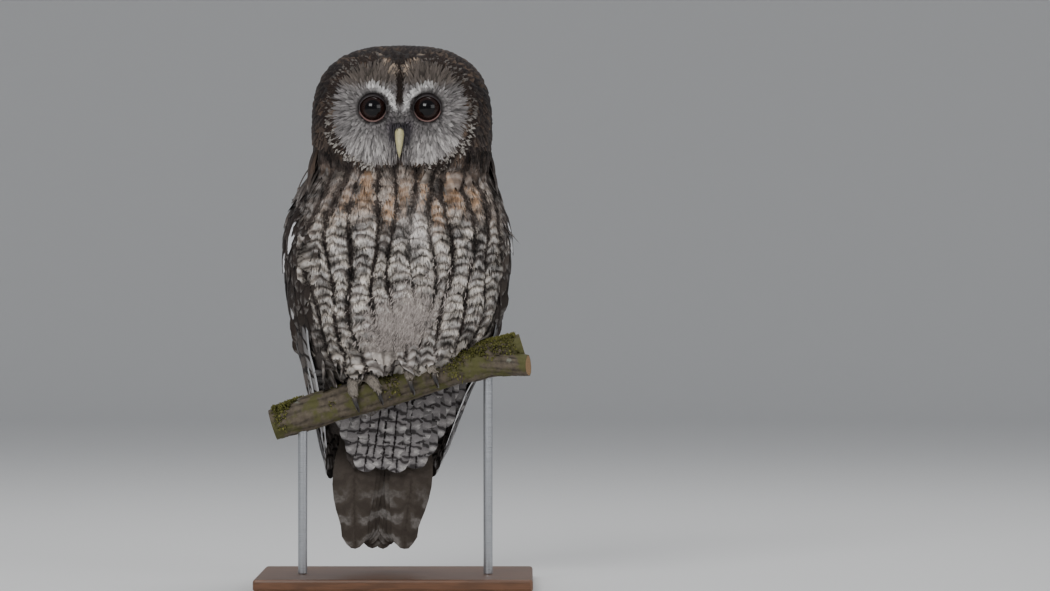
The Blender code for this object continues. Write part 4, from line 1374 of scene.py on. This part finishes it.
class OWL_OT_ruff(bpy.types.Operator):
    """The stiff, flecked feathers of the rim round the facial disc"""

    bl_idname = "owl.ruff"
    bl_label = "Ruff"

    def execute(self, context):
        rng = np.random.default_rng(51)
        share, turn = staggered(np.array([0.93, 0.98, 1.03, 1.08]), lambda row: 170, 0.25, rng)
        turn = turn * 2 * math.pi
        x = np.cos(turn) * DISC_LOBE[1] * share
        x = x + np.sign(x) * DISC_LOBE[0]
        start = in_front(FACE_X + x, DISC_Z + np.sin(turn) * DISC_LOBE[2] * share)
        notch = np.abs(start[:, 0] - FACE_X) < DISC_LOBE[0]
        points, normals, met = face_roots(start)
        keep = met & (points[:, 1] < -0.012) & (points[:, 2] > 0.314) & ~(notch & (share < 1.0))
        points, normals, share, turn = only(keep, points, normals, share, turn)
        lie = points - np.array([FACE_X, 0, DISC_Z])
        lie[:, 1] = 6 * MM
        flecks = rng.random(len(points))
        white = (flecks > 0.55) * smooth(points[:, 2], EYE_Z + 6 * MM, EYE_Z - 16 * MM)
        white = white * (0.5 + 0.5 * rng.random(len(points)))
        white = np.maximum(white, 0.25 * (flecks > 0.75))[:, None]
        ground = between(UMBER * 0.9, srgb(196, 190, 182), white)
        lay_feathers(
            "ruff_feathers", (points, normals), lie, 8 * MM, 2.3 * MM, (turn, share), rng,
            grid=(4, 5), depth=(1.8 * MM, -0.2 * MM), cup=0.35, swing=0.2, slot="facial_disc",
            colours=markings(len(points), ground, INK, (0.5, 0, 0, 0.4)),
            material=feather_material("ruff_vanes", streak=0.25, bars=0.6, barbs=70.0),
        )
        return {"FINISHED"}


# ---------------------------------------------------------------- flight feathers and tail

# The form that the folded wings lie on: height, half width, half depth, middle in Y.
WING_FORM = np.array([
    (0.060, 0.0405, 0.0140, 0.0360),
    (0.090, 0.0455, 0.0165, 0.0345),
    (0.112, 0.0525, 0.0200, 0.0330),
    (0.130, 0.0585, 0.0235, 0.0310),
    (0.150, 0.0655, 0.0300, 0.0265),
    (0.166, 0.0715, 0.0440, 0.0140),
    (0.180, 0.0770, 0.0530, 0.0050),
    (0.200, 0.0815, 0.0600, 0.0000),
    (0.230, 0.0860, 0.0650, -0.0030),
])


def turned(x, y, z):
    """Points of the body's own frame, in which it faces -Y, as an array in the model's frame."""
    c, s = math.cos(BODY_TURN), math.sin(BODY_TURN)
    x, y, z = np.broadcast_arrays(x, y, z)
    return np.stack([c * x - s * y + axis_shift(z), s * x + c * y, z], -1)


def wing_surface(angle, z, inset):
    """A superellipse round the body at each height: x = a sin(t)^(2/2.3), y = y0 - b cos(t)^(2/2.3)."""
    half_width, half_depth, middle = (np.interp(z, WING_FORM[:, 0], WING_FORM[:, k]) for k in (1, 2, 3))
    s, c = np.sin(np.radians(angle)), np.cos(np.radians(angle))
    x = (half_width - inset) * np.sign(s) * np.abs(s) ** (2 / 2.3)
    y = middle - (half_depth - inset) * np.sign(c) * np.abs(c) ** (2 / 2.3)
    return turned(x, y, z)


def long_vanes(paths, normals, half_width, cup, point, rag, rng):
    """Long feathers: each is a strip across its path, bent down as the square of the distance from the shaft.

    paths and normals hold feathers by rows of points; half_width holds a width for each feather and row,
    and point says how much the tip is drawn out.
    """
    count, rows = paths.shape[:2]
    u = np.linspace(-1, 1, 7)[None, None, :]
    along = unit(np.gradient(paths, axis=1))
    beside = unit(np.cross(along, normals))
    out = np.cross(beside, along)
    t = np.linspace(0, 1, rows)[None, :, None]
    length = np.linalg.norm(np.diff(paths, axis=1), axis=-1).sum(1)[:, None, None]
    pulled = (point * u**2 + rag * rng.random((count, 1, 7))) * length * smooth(t, 0.72, 1.0)
    spot = paths[:, :, None] - along[:, :, None] * pulled[..., None]
    half = half_width[..., None]
    lift = (1 - u**2) * 0.25 * MM - cup * half * u**2
    return spot + beside[:, :, None] * (half * u)[..., None] + out[:, :, None] * lift[..., None]


class OWL_OT_flight_feathers(bpy.types.Operator):
    """The long barred feathers of each folded wing, whose pale outer edges show below the coverts"""

    bl_idname = "owl.flight_feathers"
    bl_label = "Flight feathers"

    def execute(self, context):
        count, rows = 10, 15
        share = np.linspace(0.07, 0.93, count)[:, None]
        t = np.linspace(0, 1, rows)
        start = 0.196 - 0.060 * share**0.8 + 24 * MM
        half = context.scene.owl_plumage.quill_width / 2 * smooth(t, -0.6, 0.3)
        half = half * (1 - 0.35 * smooth(t, 0.75, 1.0)) * (0.9 + 0.25 * share)
        for side, name in SIDES:
            rng = np.random.default_rng(60 + side)
            tip = node_box("wing_quills_" + name)[0, 2] + 1 * MM + np.abs(share - 0.4) * 70 * MM
            z = between(start, tip, t)
            angle = between(wing_front(z), wing_back(z), share + 0.03 * (1 - t))
            layer = (2.2 - share - 0.4 * t) * MM
            paths = wing_surface(side * angle, z, layer)
            nearby = wing_surface(side * angle + 2, z, layer)
            normals = unit(np.cross(nearby - paths, np.gradient(paths, axis=1)))
            normals *= np.sign((normals * (paths - body_axis(z))).sum(-1, keepdims=True))
            vanes = long_vanes(paths, normals, half, 0.12, 0.05, 0.012, rng)
            marks = np.hstack([np.tile([0.5, 0.95], (count, 1)), smooth(share, 0.7, 0.15), 0 * share])
            ground = srgb(112, 103, 98) * (1 - 0.25 * share)
            vane_piece(
                f"flight_feathers_{name}", vanes, markings(count, ground, srgb(36, 30, 29), marks),
                (share[:, 0], tip[:, 0]), rng,
                feather_material("flight_vanes", streak=0.06, bars=9.0, barbs=420.0, bump=0.25),
                slot="flight_feathers", nodes=("wing_quills_" + name,), webs=(0, 1) if side > 0 else (1, 0),
            )
        return {"FINISHED"}


class OWL_OT_tail(bpy.types.Operator):
    """Twelve broad tail feathers in two hands, with round tips and faint bars"""

    bl_idname = "owl.tail"
    bl_label = "Tail"

    def execute(self, context):
        rng = np.random.default_rng(71)
        index = np.arange(12)
        side = np.where(index % 2, 1, -1)
        place = (index // 2) / 5
        tip_x = side * (22.5 - 17.5 * place) * MM
        tip = TAIL_LOW[2] + (0.4 + 5 * np.sin(math.pi * place) + 0.8 * (side < 0)) * MM
        t = np.linspace(0, 1, 15)[None, :]
        z = between(TAIL_HIGH[2], tip[:, None], t)
        x = tip_x[:, None] * (0.7 + 0.3 * smooth(t, 0.1, 0.6)) * (1 - 0.14 * smooth(t, 0.6, 1.0))
        y = np.broadcast_to((28.5 + 0.95 * index)[:, None] * MM + 0 * t, x.shape)
        paths = turned(x, y, z)
        normals = np.broadcast_to(turned(0, -1, 0) - turned(0, 0, 0), paths.shape)
        half = context.scene.owl_plumage.tail_width / 2 * (0.72 + 0.28 * smooth(t, 0.1, 0.6))
        half = half * (1 - 0.4 * smooth(t, 0.6, 1.0)) + 0 * z
        vanes = long_vanes(paths, normals, half, 0.14, 0.07, 0.006, rng)
        colours = markings(12, TAIL * (1.1 - 0.1 * place[:, None]), srgb(50, 42, 38), (0.4, 0.28, 0, 0))
        vane_piece(
            "tail_feathers", vanes, colours, (tip_x, place), rng,
            feather_material("tail_vanes", streak=0.03, bars=6.5, barbs=520.0, bump=0.25),
            slot="flight_feathers", nodes=("tail",),
        )
        return {"FINISHED"}


class OWL_OT_undertail(bpy.types.Operator):
    """The pale feathers under the tail's base in rows, each with a dark shaft and bars like a T"""

    bl_idname = "owl.undertail"
    bl_label = "Undertail coverts"

    def execute(self, context):
        rng = np.random.default_rng(73)
        pitch, drop, lowest = 13.5 * MM, 9.5 * MM, 84.5 * MM
        x, row = (a.ravel() for a in np.meshgrid(np.arange(-4, 5) * pitch, np.arange(9)))
        x = x + (row % 2 - 0.5) * pitch / 2 + rng.normal(0, 0.8 * MM, len(x))
        tip = lowest + drop * row + rng.normal(0, 1.0 * MM, len(x)) + 0.12 * np.abs(x)
        t = np.linspace(0, 1, 12)
        z = tip[:, None] + (1 - t) * 40 * MM
        across = x[:, None] * (1 - 0.12 * (1 - t))
        start, way = turned(across, FRONT, z), turned(0, 1, 0) - turned(0, 0, 0)
        above = turned(across, FRONT, np.maximum(z, 0.09)).reshape(-1, 3)
        hit, _, met = cast_in(above, np.broadcast_to(way, above.shape))
        reach = ((hit - above) @ way).reshape(z.shape)
        # Feathers are kept where they lie against the tail's base and not against the belly in front of it.
        met = met.reshape(z.shape)[:, -5:].all(1) & (reach[:, -1] > 0.118)
        # The path keeps straight: only its lower end follows the form, and the rest runs on behind it.
        end = reach[:, -1:]
        follow = np.minimum(end + 1.4 * MM * (1 - t), reach + 1.2 * MM)
        follow = np.where(reach > 0.11, follow, end + 1.4 * MM)
        layer = (0.7 - 0.12 * (row % 2) - 0.05 * row)[:, None] * MM
        paths = (start + (follow + layer)[..., None] * way)[met]
        normals = np.broadcast_to(-way, paths.shape)
        half = 9.5 * MM * smooth(t, -0.5, 0.5) * (1 - 0.25 * smooth(t, 0.85, 1.0)) + 0 * paths[..., 0]
        vanes = long_vanes(paths, normals, half, 0.04, 0.07, 0.02, rng)
        bright = 0.55 + 0.45 * smooth(tip, 0.15, 0.11) * (0.7 + 0.6 * rng.random(len(tip)))
        ground = srgb(142, 138, 138) * bright[met, None]
        vane_piece(
            "undertail_feathers", vanes, markings(len(paths), ground, INK, (1.0, 0.8, 0.0, 0.3)),
            only(met, x, tip), rng,
            feather_material("undertail_vanes", streak=0.07, bars=4.0, barbs=400.0),
        )
        return {"FINISHED"}


class OWL_OT_uppertail(bpy.types.Operator):
    """The brown feathers over the tail's base behind"""

    bl_idname = "owl.uppertail"
    bl_label = "Uppertail coverts"

    def execute(self, context):
        rng = np.random.default_rng(72)
        rows = np.arange(0.178, 0.098, -9 * MM)
        angle, z = (a.ravel() for a in np.meshgrid(np.arange(-180, 180, 16.0), rows))
        angle = angle + rng.normal(0, 1, len(angle)) + 8 * (np.round(z / (9 * MM)) % 2)
        points, normals, met = body_roots(angle, z)
        keep = met & (np.abs(body_angle(points)) > wing_back(z) - 4)
        points, normals, angle, z = only(keep, points, normals, angle, z)
        lay_feathers(
            "uppertail_feathers", (points, normals), down_body(points), 32 * MM, 21 * MM, (angle, z), rng,
            grid=(7, 9), depth=(3.0 * MM, 0.4 * MM), rag=0.06, cup=0.05, cling=12 * MM, swing=0.05, roll=0.03,
            material=feather_material("uppertail_vanes", streak=0.08, bars=1.6, barbs=300.0),
        )
        return {"FINISHED"}


# ---------------------------------------------------------------- feet


def perch_point(along, around, reach):
    """A point near the perch: along its middle, round it from straight ahead (-Y) over the top, and out."""
    up = reach * np.sin(around)
    x = along * math.cos(PERCH_SLOPE) - up * math.sin(PERCH_SLOPE)
    z = along * math.sin(PERCH_SLOPE) + up * math.cos(PERCH_SLOPE)
    return PERCH_MIDDLE + np.stack(np.broadcast_arrays(x, -reach * np.cos(around), z), -1)


PERCH_WAY = unit(perch_point(1.0, 0.0, 0.0) - PERCH_MIDDLE)
# Each toe: whether it points forward, and how far out from its foot's middle its root and tip lie.
TOE_PLACES = {
    "inner": (True, -5.8 * MM, -10.5 * MM),
    "middle": (True, 5.8 * MM, 8.5 * MM),
    "hind": (False, -5.8 * MM, -7.5 * MM),
    "outer": (False, 5.8 * MM, 12.5 * MM),
}
FOOT_PLACE = 23 * MM


class OWL_OT_claws(bpy.types.Operator):
    """Dark curved claws that grip the perch, each a round tube that tapers along an arc"""

    bl_idname = "owl.claws"
    bl_label = "Claws"

    def execute(self, context):
        material = claw_material()
        rows, columns = 16, 14
        t = np.linspace(0, 1, rows)
        v = circle(columns)[None, :, None]
        radius = (2.5 * (1 - t) ** 0.75 + 0.22) * (1 + 0.12 * bell(t, 0, 0.08)) * MM
        for side, name in SIDES:
            meshes = []
            for forward, _, tip in TOE_PLACES.values():
                turn = np.radians(4 - 52 * t) if forward else np.radians(170 + 50 * t)
                lift = 0.4 * MM + radius + 1.7 * MM * (1 - t) + 1.6 * MM * np.sin(math.pi * t)
                along = side * (FOOT_PLACE + tip)
                centre = perch_point(along, turn, PERCH_RADIUS + lift)[:, None]
                outward = unit(centre - perch_point(along, 0.0, 0.0))
                spin = 0.82 * np.cos(v) * PERCH_WAY + np.sin(v) * outward
                mesh = closed_tube("claw", centre + radius[:, None, None] * spin)
                set_attribute(mesh, "along", np.append(np.repeat(t, columns), [0, 1]))
                meshes.append(mesh)
            nodes = [f"claw_{toe}_{name}" for toe in TOE_PLACES]
            add_piece(f"claws_{name}", join_meshes(f"claws_{name}", meshes), material, nodes)
        return {"FINISHED"}


class OWL_OT_feet(bpy.types.Operator):
    """Short, hair-like feathers on the legs and toes, down to the claws"""

    bl_idname = "owl.feet"
    bl_label = "Feathered feet"

    def execute(self, context):
        rng = np.random.default_rng(81)
        starts, lies = [], []
        toe_reach = PERCH_RADIUS + 5 * MM
        for side, _ in SIDES:
            for forward, root, tip in TOE_PLACES.values():
                t, v = rng.random(170), rng.random(170) * 2 * math.pi
                turn = np.radians(62 - 54 * t) if forward else np.radians(118 + 48 * t)
                along = side * (FOOT_PLACE + between(root, tip, t))
                centre = perch_point(along, turn, toe_reach)
                ahead = perch_point(along, turn + (-0.1 if forward else 0.1), toe_reach)
                outward = unit(centre - perch_point(along, turn, 0.0))
                spin = np.sin(v)[:, None] * PERCH_WAY + (np.cos(v) + 0.35)[:, None] * outward
                starts.append(centre + 7 * MM * unit(spin))
                lies.append(ahead - centre)
            t, v = rng.random(260), rng.random(260) * 2 * math.pi
            ankle = perch_point(side * FOOT_PLACE, math.pi / 2, PERCH_RADIUS + 6 * MM)
            centre = ankle + np.array([side * 4, 6, 34]) * MM * t[:, None]
            starts.append(centre + 15 * MM * np.stack([np.cos(v), np.sin(v), 0 * v], -1))
            lies.append(np.tile([0, -0.15, -1.0], (260, 1)))
        points, normals = nearest(np.concatenate(starts))
        low = smooth(points[:, 2], 0.176, 0.19)
        ground = between(srgb(158, 149, 138), srgb(186, 178, 168), low[:, None])
        lay_feathers(
            "foot_feathers", (points, normals), np.concatenate(lies), (6.0 + 5 * low) * MM,
            (1.9 + 1.4 * low) * MM, (points[:, 0], points[:, 1] + points[:, 2]), rng, **WISP,
            depth=(0.9 * MM, -0.3 * MM), taper=(0.8, 0.35), swing=0.25, cling=3 * MM,
            colours=markings(len(points), ground, srgb(72, 62, 56), (0.35, 0, 0, 1)),
            material=feather_material("foot_vanes", streak=0.3, bars=0.6, barbs=60.0),
        )
        return {"FINISHED"}


# ---------------------------------------------------------------- eyes, lids and bill


def ball(side, radius, theta, phi):
    """Points round an eye: theta runs from the front of the ball to its back, phi round it."""
    y = -radius * np.cos(theta)
    points = [radius * np.sin(theta) * np.cos(phi), y, radius * np.sin(theta) * np.sin(phi)]
    return EYES[side] + np.stack(np.broadcast_arrays(*points), -1)


class OWL_OT_eyes(bpy.types.Operator):
    """Glossy, nearly black eyes: a ball with a raised cornea, a wide pupil and a dark brown iris"""

    bl_idname = "owl.eyes"
    bl_label = "Eyes"

    def execute(self, context):
        material = eye_material(tuple(context.scene.owl_face.iris))
        columns = 56
        theta = np.linspace(0.03, math.pi - 0.03, 40)[:, None]
        # The cornea stands up in front.
        radius = EYE_RADIUS * (0.985 + 0.015 * bell(theta, 0, 0.6))
        for side, name in SIDES:
            mesh = closed_tube(f"eye_{name}_ball", ball(side, radius, theta, circle(columns)[None]))
            set_attribute(mesh, "theta", np.append(np.repeat(theta[:, 0], columns), [0, math.pi]))
            add_piece(f"eye_{name}_ball", mesh, material, ("eye_" + name,))
        return {"FINISHED"}


class OWL_OT_lids(bpy.types.Operator):
    """Dark velvety eyelids with a bare, fleshy edge; the upper one covers the top of the eye"""

    bl_idname = "owl.lids"
    bl_label = "Eyelids"

    def execute(self, context):
        material = lid_material(tuple(context.scene.owl_face.lid))
        rows, columns = 16, 72
        v, phi = circle(rows)[:, None], circle(columns)[None]
        up = np.sin(phi)
        opening = np.radians(58 - 10 * smooth(up, 0.1, 1.0) - 3 * smooth(-up, 0.3, 1.0))
        # The section is a flat drop: a thick bead at the opening that thins towards the face.
        share = 0.5 - 0.5 * np.cos(v)
        theta = between(opening, math.radians(92), share)
        radius = EYE_RADIUS + 0.45 * MM + (0.95 - 0.5 * share) * MM * np.sin(v) * (1 - 0.2 * up)
        around = np.arange(columns)
        after, last = (around + 1) % columns, (rows - 1) * columns
        seam = np.stack([last + around, last + after, after, around], -1)
        faces = [grid_faces(rows, columns, wrap=True), seam]
        for side, name in SIDES:
            mesh = flat_mesh(f"eyelids_{name}", ball(side, radius, theta, phi).reshape(-1, 3), faces)
            set_attribute(mesh, "edge", (1 - smooth(share + 0 * phi, 0.08, 0.3)).ravel())
            set_attribute(mesh, "lower", smooth(-up + 0 * v, -0.1, 0.6).ravel())
            add_piece(f"eyelids_{name}", face_outwards(mesh), material)
        return {"FINISHED"}


# The point under the forehead that the bill curves round.
BILL_Y, BILL_Z = -51 * MM, 332 * MM


def bill_surface(arc, start, end, half_width, half_depth, rows, columns, hook):
    """An oval section carried along an arc round a point under the forehead, its ridge pinched on top.

    At share t of the arc the section's size is 1 - t^2.2, and the tip bends in by the hook.
    """
    t = np.linspace(0, 1, rows)[:, None]
    v = circle(columns)[None]
    angle = np.radians(between(start, end, t))
    size = np.maximum(1 - t**2.2, 0.035)
    pinch = 1 - 0.25 * np.clip(np.sin(v), 0, 1) ** 2
    x = half_width * size * np.cos(v) * pinch
    deep = np.where(np.sin(v) < 0, 1 + 0.55 * smooth(t, 0.85, 0.4), 1.0)
    reach = arc + half_depth * size * deep * np.sin(v) - hook * smooth(t, 0.75, 1.0)
    return np.stack([x + FACE_X, BILL_Y - reach * np.cos(angle), BILL_Z + reach * np.sin(angle)], -1)


class OWL_OT_bill(bpy.types.Operator):
    """The hooked upper bill over the shorter lower one"""

    bl_idname = "owl.bill"
    bl_label = "Bill"

    def execute(self, context):
        material = bill_material(tuple(context.scene.owl_face.bill))
        parts = (
            ("bill_upper_horn", (14.5 * MM, 84, -32, 3.9 * MM, 5.0 * MM, 40, 32, 1.2 * MM), "bill_upper"),
            ("bill_lower_horn", (8.2 * MM, 60, -20, 3.2 * MM, 2.4 * MM, 20, 24, 0), "bill_lower"),
        )
        for name, shape, node in parts:
            rings = bill_surface(*shape)
            rows, columns = rings.shape[:2]
            mesh = closed_tube(name, rings)
            set_attribute(mesh, "along", np.append(np.repeat(np.linspace(0, 1, rows), columns), [0, 1]))
            set_attribute(mesh, "ridge", np.append(np.tile(np.sin(circle(columns)), rows), [0, 0]))
            add_piece(name, mesh, material, (node,))
        return {"FINISHED"}


# ---------------------------------------------------------------- perch and stand


def bark_form(points, along, around):
    """How far the bark stands out: long ridges that wander round the branch, cracks between them, knots."""
    wander = 0.5 * np.sin(46 * along + 1.7) + 0.35 * np.sin(121 * along + 4 * np.sin(around))
    ridges = np.abs(np.sin(5.5 * around + 1.3 * wander + 9 * along)) ** 0.6
    fine = mottle(points, 0.006, 3) + 0.6 * mottle(points, 0.0028, 8)
    return 0.9 * ridges + 0.55 * fine - 1.1


def branch_mesh(name, centre, sides, radii, along):
    """A bark-covered branch round a path, each sawn end a flat disc with a ring of bark round it.

    centre holds the path, sides two directions across it, and radii the branch's radius at each row.
    """
    rows, columns = len(centre), 72
    v = circle(columns)[None]
    s = np.broadcast_to(along[:, None], (rows, columns))
    spin = np.cos(v)[..., None] * sides[0] + np.sin(v)[..., None] * sides[1]
    plain = centre[:, None] + radii[:, None, None] * spin
    inner = smooth(np.arange(rows), 0, 3) * smooth(np.arange(rows), rows - 1, rows - 4)
    bark = bark_form(plain.reshape(-1, 3), s.ravel(), np.broadcast_to(v, s.shape).ravel()).reshape(s.shape)
    reach = radii[:, None] * (1 + 0.05 * np.sin(3 * v + 60 * s))
    reach = reach + 0.75 * MM * bark * (0.4 + 0.6 * inner[:, None])
    rings = centre[:, None] + reach[..., None] * spin
    # The rings of a sawn end are shares of the branch's own last one. core is that share, and 2 on the bark.
    shares = np.linspace(0.93, 0.15, 5)
    shrink = shares[:, None, None]
    first = centre[0] + (rings[0] - centre[0]) * shrink[::-1]
    last = centre[-1] + (rings[-1] - centre[-1]) * shrink
    core = np.concatenate([shares[::-1], np.full(rows, 2.0), shares])
    mesh = closed_tube(name, np.concatenate([first, rings, last]))
    set_attribute(mesh, "core", np.append(np.repeat(core, columns), [0, 0]))
    ends = np.zeros((len(shares), columns))
    set_attribute(mesh, "bark", np.append(np.concatenate([ends, bark, ends]).ravel(), [0, 0]))
    return mesh


def perch_radius(along):
    """The perch's radius: even in the middle, and uneven towards its ends."""
    lumps = 0.6 * np.sin(95 * along + 1.3)
    return PERCH_RADIUS * (1 + 0.1 * smooth(np.abs(along), 42 * MM, 62 * MM) * lumps) - 0.5 * MM


class OWL_OT_perch(bpy.types.Operator):
    """A short length of mossy branch with the stub of a fork, sawn off at both ends"""

    bl_idname = "owl.perch"
    bl_label = "Perch"

    def execute(self, context):
        along = np.linspace(*PERCH_ENDS, 150)
        centre = perch_point(along, 0.0, 0.0)
        front, top = (perch_point(0.0, a, 1.0) - PERCH_MIDDLE for a in (0.0, math.pi / 2))
        main = branch_mesh("branch", centre, (front, top), perch_radius(along), along)
        t = np.linspace(0, 1, 60)
        way = np.array([1, -0.28, 0.05])
        path = perch_point(56 * MM, 0.0, 0.0) + 48 * MM * np.stack([t, -0.28 * t, 0.10 * t - 0.1 * t * t], -1)
        level = unit(np.cross(way, [0, 0, 1]))
        radii = 9 * MM * (1.15 - 0.2 * t + 0.3 * smooth(t, 0.45, 0.1)) - 0.4 * MM
        stub = branch_mesh("stub", path, (level, np.cross(level, unit(way))), radii, 0.2 + 0.05 * t)
        branch = join_meshes("perch_branch", [main, stub])
        add_piece("perch_branch", branch, bark_material(), ("perch",))
        return {"FINISHED"}


class OWL_OT_moss(bpy.types.Operator):
    """Tufts of moss in patches on the upper side of the perch"""

    bl_idname = "owl.moss"
    bl_label = "Moss"

    def execute(self, context):
        rng = np.random.default_rng(91)
        count = context.scene.owl_stand.moss_tufts
        along = rng.uniform(PERCH_ENDS[0] + 3 * MM, PERCH_ENDS[1] - 3 * MM, 4 * count)
        around = rng.normal(math.pi / 2, 1.0, 4 * count)
        points = perch_point(along, around, perch_radius(along) + 0.2 * MM)
        patch = mottle(points, 0.05, 4) + 0.25 * np.sin(around)
        under_feet = np.abs(np.abs(along) - FOOT_PLACE) < 17 * MM
        keep = (patch > 0.57) & ~(under_feet & (np.cos(around) ** 2 < 0.98))
        keep &= np.cumsum(keep) <= count
        points, along, around = only(keep, points, along, around)
        normals = unit(points - perch_point(along, 0.0, 0.0))
        spray = unit(normals + 0.8 * unit(rng.normal(size=points.shape)))
        size = rng.uniform(1.6, 3.4, len(points))[:, None] * MM
        stations = [points - 0.6 * MM * normals, points + 0.55 * size * spray]
        stations.append(points + size * spray - 0.3 * size * np.array([0, 0, 1]))
        flat = unit(np.cross(spray, rng.normal(size=points.shape)))
        vanes = blades(stations, flat, 1.3 * MM, (4, 3), 0.25, (0.8, 0.3), rng)
        ground = between(srgb(92, 92, 44), srgb(140, 138, 76), rng.random((len(points), 1)))
        vane_piece(
            "perch_moss", vanes, markings(len(points), ground, srgb(50, 48, 24)),
            (along, around), rng, feather_material("moss_leaves", barbs=40.0), slot="bark",
        )
        return {"FINISHED"}


class OWL_OT_stand(bpy.types.Operator):
    """Gives the display stand's flat base its wood and its two rods their brushed steel"""

    bl_idname = "owl.stand"
    bl_label = "Display stand"

    def execute(self, context):
        finishes = {
            "stand_base": wood_material(tuple(context.scene.owl_stand.wood)),
            "stand_rod_left": steel_material(),
            "stand_rod_right": steel_material(),
        }
        for node, material in finishes.items():
            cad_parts[node].material_slots[0].material = material
        return {"FINISHED"}


# ---------------------------------------------------------------- the stage


class OWL_OT_stage(bpy.types.Operator):
    """A plain pale floor and wall, soft light and the camera"""

    bl_idname = "owl.stage"
    bl_label = "Stage"

    def execute(self, context):
        settings = context.scene.owl_stage
        scene = context.scene
        # A round floor that rises into a wall along a quarter circle: (radius, height) turned about Z.
        turn = np.linspace(0, math.pi / 2, 12)[:, None]
        profile = [[[0.0, 0.0]], np.hstack([4 + 1.5 * np.sin(turn), 1.5 - 1.5 * np.cos(turn)]), [[5.5, 3.2]]]
        profile = np.concatenate(profile)[:, None]
        spin = circle(96)[None]
        radius, height = profile[..., 0], profile[..., 1] + 0 * spin
        grid = np.stack([radius * np.cos(spin), radius * np.sin(spin), height], -1)
        mesh = flat_mesh("stage_sweep", grid.reshape(-1, 3), [grid_faces(len(profile), 96, wrap=True)])
        mesh.shade_smooth()
        backdrop = bpy.data.objects.new("stage_sweep", mesh)
        scene.collection.objects.link(backdrop)
        mesh.materials.append(finished(new_material("stage_paper")[0], opaque(settings.backdrop), 0.9))

        lights = (
            ("key", (-0.9, -2.2, 1.5), (1.1, 0.9), 34.0),
            ("fill", (1.9, -1.8, 0.9), (1.4, 1.2), 14.0),
            ("top", (0.2, 0.5, 2.1), (1.2, 1.2), 18.0),
        )
        target = np.array([0, 0, 0.23])
        for name, place, size, power in lights:
            data = bpy.data.lights.new(name, "AREA")
            data.shape, data.size, data.size_y, data.energy = "RECTANGLE", *size, power
            light = bpy.data.objects.new(name, data)
            light.location = place
            light.rotation_euler = look_along(target - np.array(place))
            scene.collection.objects.link(light)
        world = bpy.data.worlds.new("studio")
        world.use_nodes = True
        background = world.node_tree.nodes["Background"]
        background.inputs["Color"].default_value = (0.9, 0.93, 1.0, 1)
        background.inputs["Strength"].default_value = 0.35
        scene.world = world

        camera_data = bpy.data.cameras.new("camera")
        camera_data.sensor_width = 36
        camera_data.lens = settings.distance * 36 / settings.frame_width
        camera = bpy.data.objects.new("camera", camera_data)
        camera.location = (0.099, -settings.distance, 0.2218)
        camera.rotation_euler = (math.pi / 2, 0, 0)
        scene.collection.objects.link(camera)
        scene.camera = camera
        return {"FINISHED"}


def look_along(way):
    """The turn that points a light or camera along a direction."""
    flat = math.hypot(way[0], way[1])
    return (math.pi / 2 + math.atan2(way[2], flat), 0, math.atan2(way[1], way[0]) - math.pi / 2)


# ---------------------------------------------------------------- the panel, and the run


class OWL_PT_panel(bpy.types.Panel):
    """Lists the owl's settings and the steps that build it"""

    bl_idname = "OWL_PT_panel"
    bl_label = "Tawny Owl"
    bl_space_type = "VIEW_3D"
    bl_region_type = "UI"
    bl_category = "Owl"

    def draw(self, context):
        for group in GROUPS:
            column = self.layout.column(align=True)
            for key in group[1].__annotations__:
                column.prop(getattr(context.scene, group[0]), key)
        column = self.layout.column(align=True)
        for operator in OPERATORS:
            column.operator(operator.bl_idname)


GROUPS = (
    ("owl_plumage", OwlPlumageSettings),
    ("owl_face", OwlFaceSettings),
    ("owl_stand", OwlStandSettings),
    ("owl_stage", OwlStageSettings),
)
OPERATORS = (
    OWL_OT_skin,
    OWL_OT_breast,
    OWL_OT_wisps,
    OWL_OT_down,
    OWL_OT_back,
    OWL_OT_wing_coverts,
    OWL_OT_crown,
    OWL_OT_facial_disc,
    OWL_OT_bristles,
    OWL_OT_ruff,
    OWL_OT_eyes,
    OWL_OT_lids,
    OWL_OT_bill,
    OWL_OT_flight_feathers,
    OWL_OT_tail,
    OWL_OT_undertail,
    OWL_OT_uppertail,
    OWL_OT_feet,
    OWL_OT_claws,
    OWL_OT_perch,
    OWL_OT_moss,
    OWL_OT_stand,
    OWL_OT_stage,
)


def register():
    """Registers the settings, the operators and the panel."""
    for name, group in GROUPS:
        bpy.utils.register_class(group)
        setattr(bpy.types.Scene, name, PointerProperty(type=group))
    for operator in OPERATORS:
        bpy.utils.register_class(operator)
    bpy.utils.register_class(OWL_PT_panel)


def unregister():
    """Takes away what register made, in the opposite order."""
    bpy.utils.unregister_class(OWL_PT_panel)
    for operator in reversed(OPERATORS):
        bpy.utils.unregister_class(operator)
    for name, group in reversed(GROUPS):
        delattr(bpy.types.Scene, name)
        bpy.utils.unregister_class(group)


def main():
    """Builds the whole owl."""
    register()
    for operator in OPERATORS:
        group, name = operator.bl_idname.split(".")
        getattr(getattr(bpy.ops, group), name)()
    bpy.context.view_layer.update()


if __name__ == "__main__":
    main()
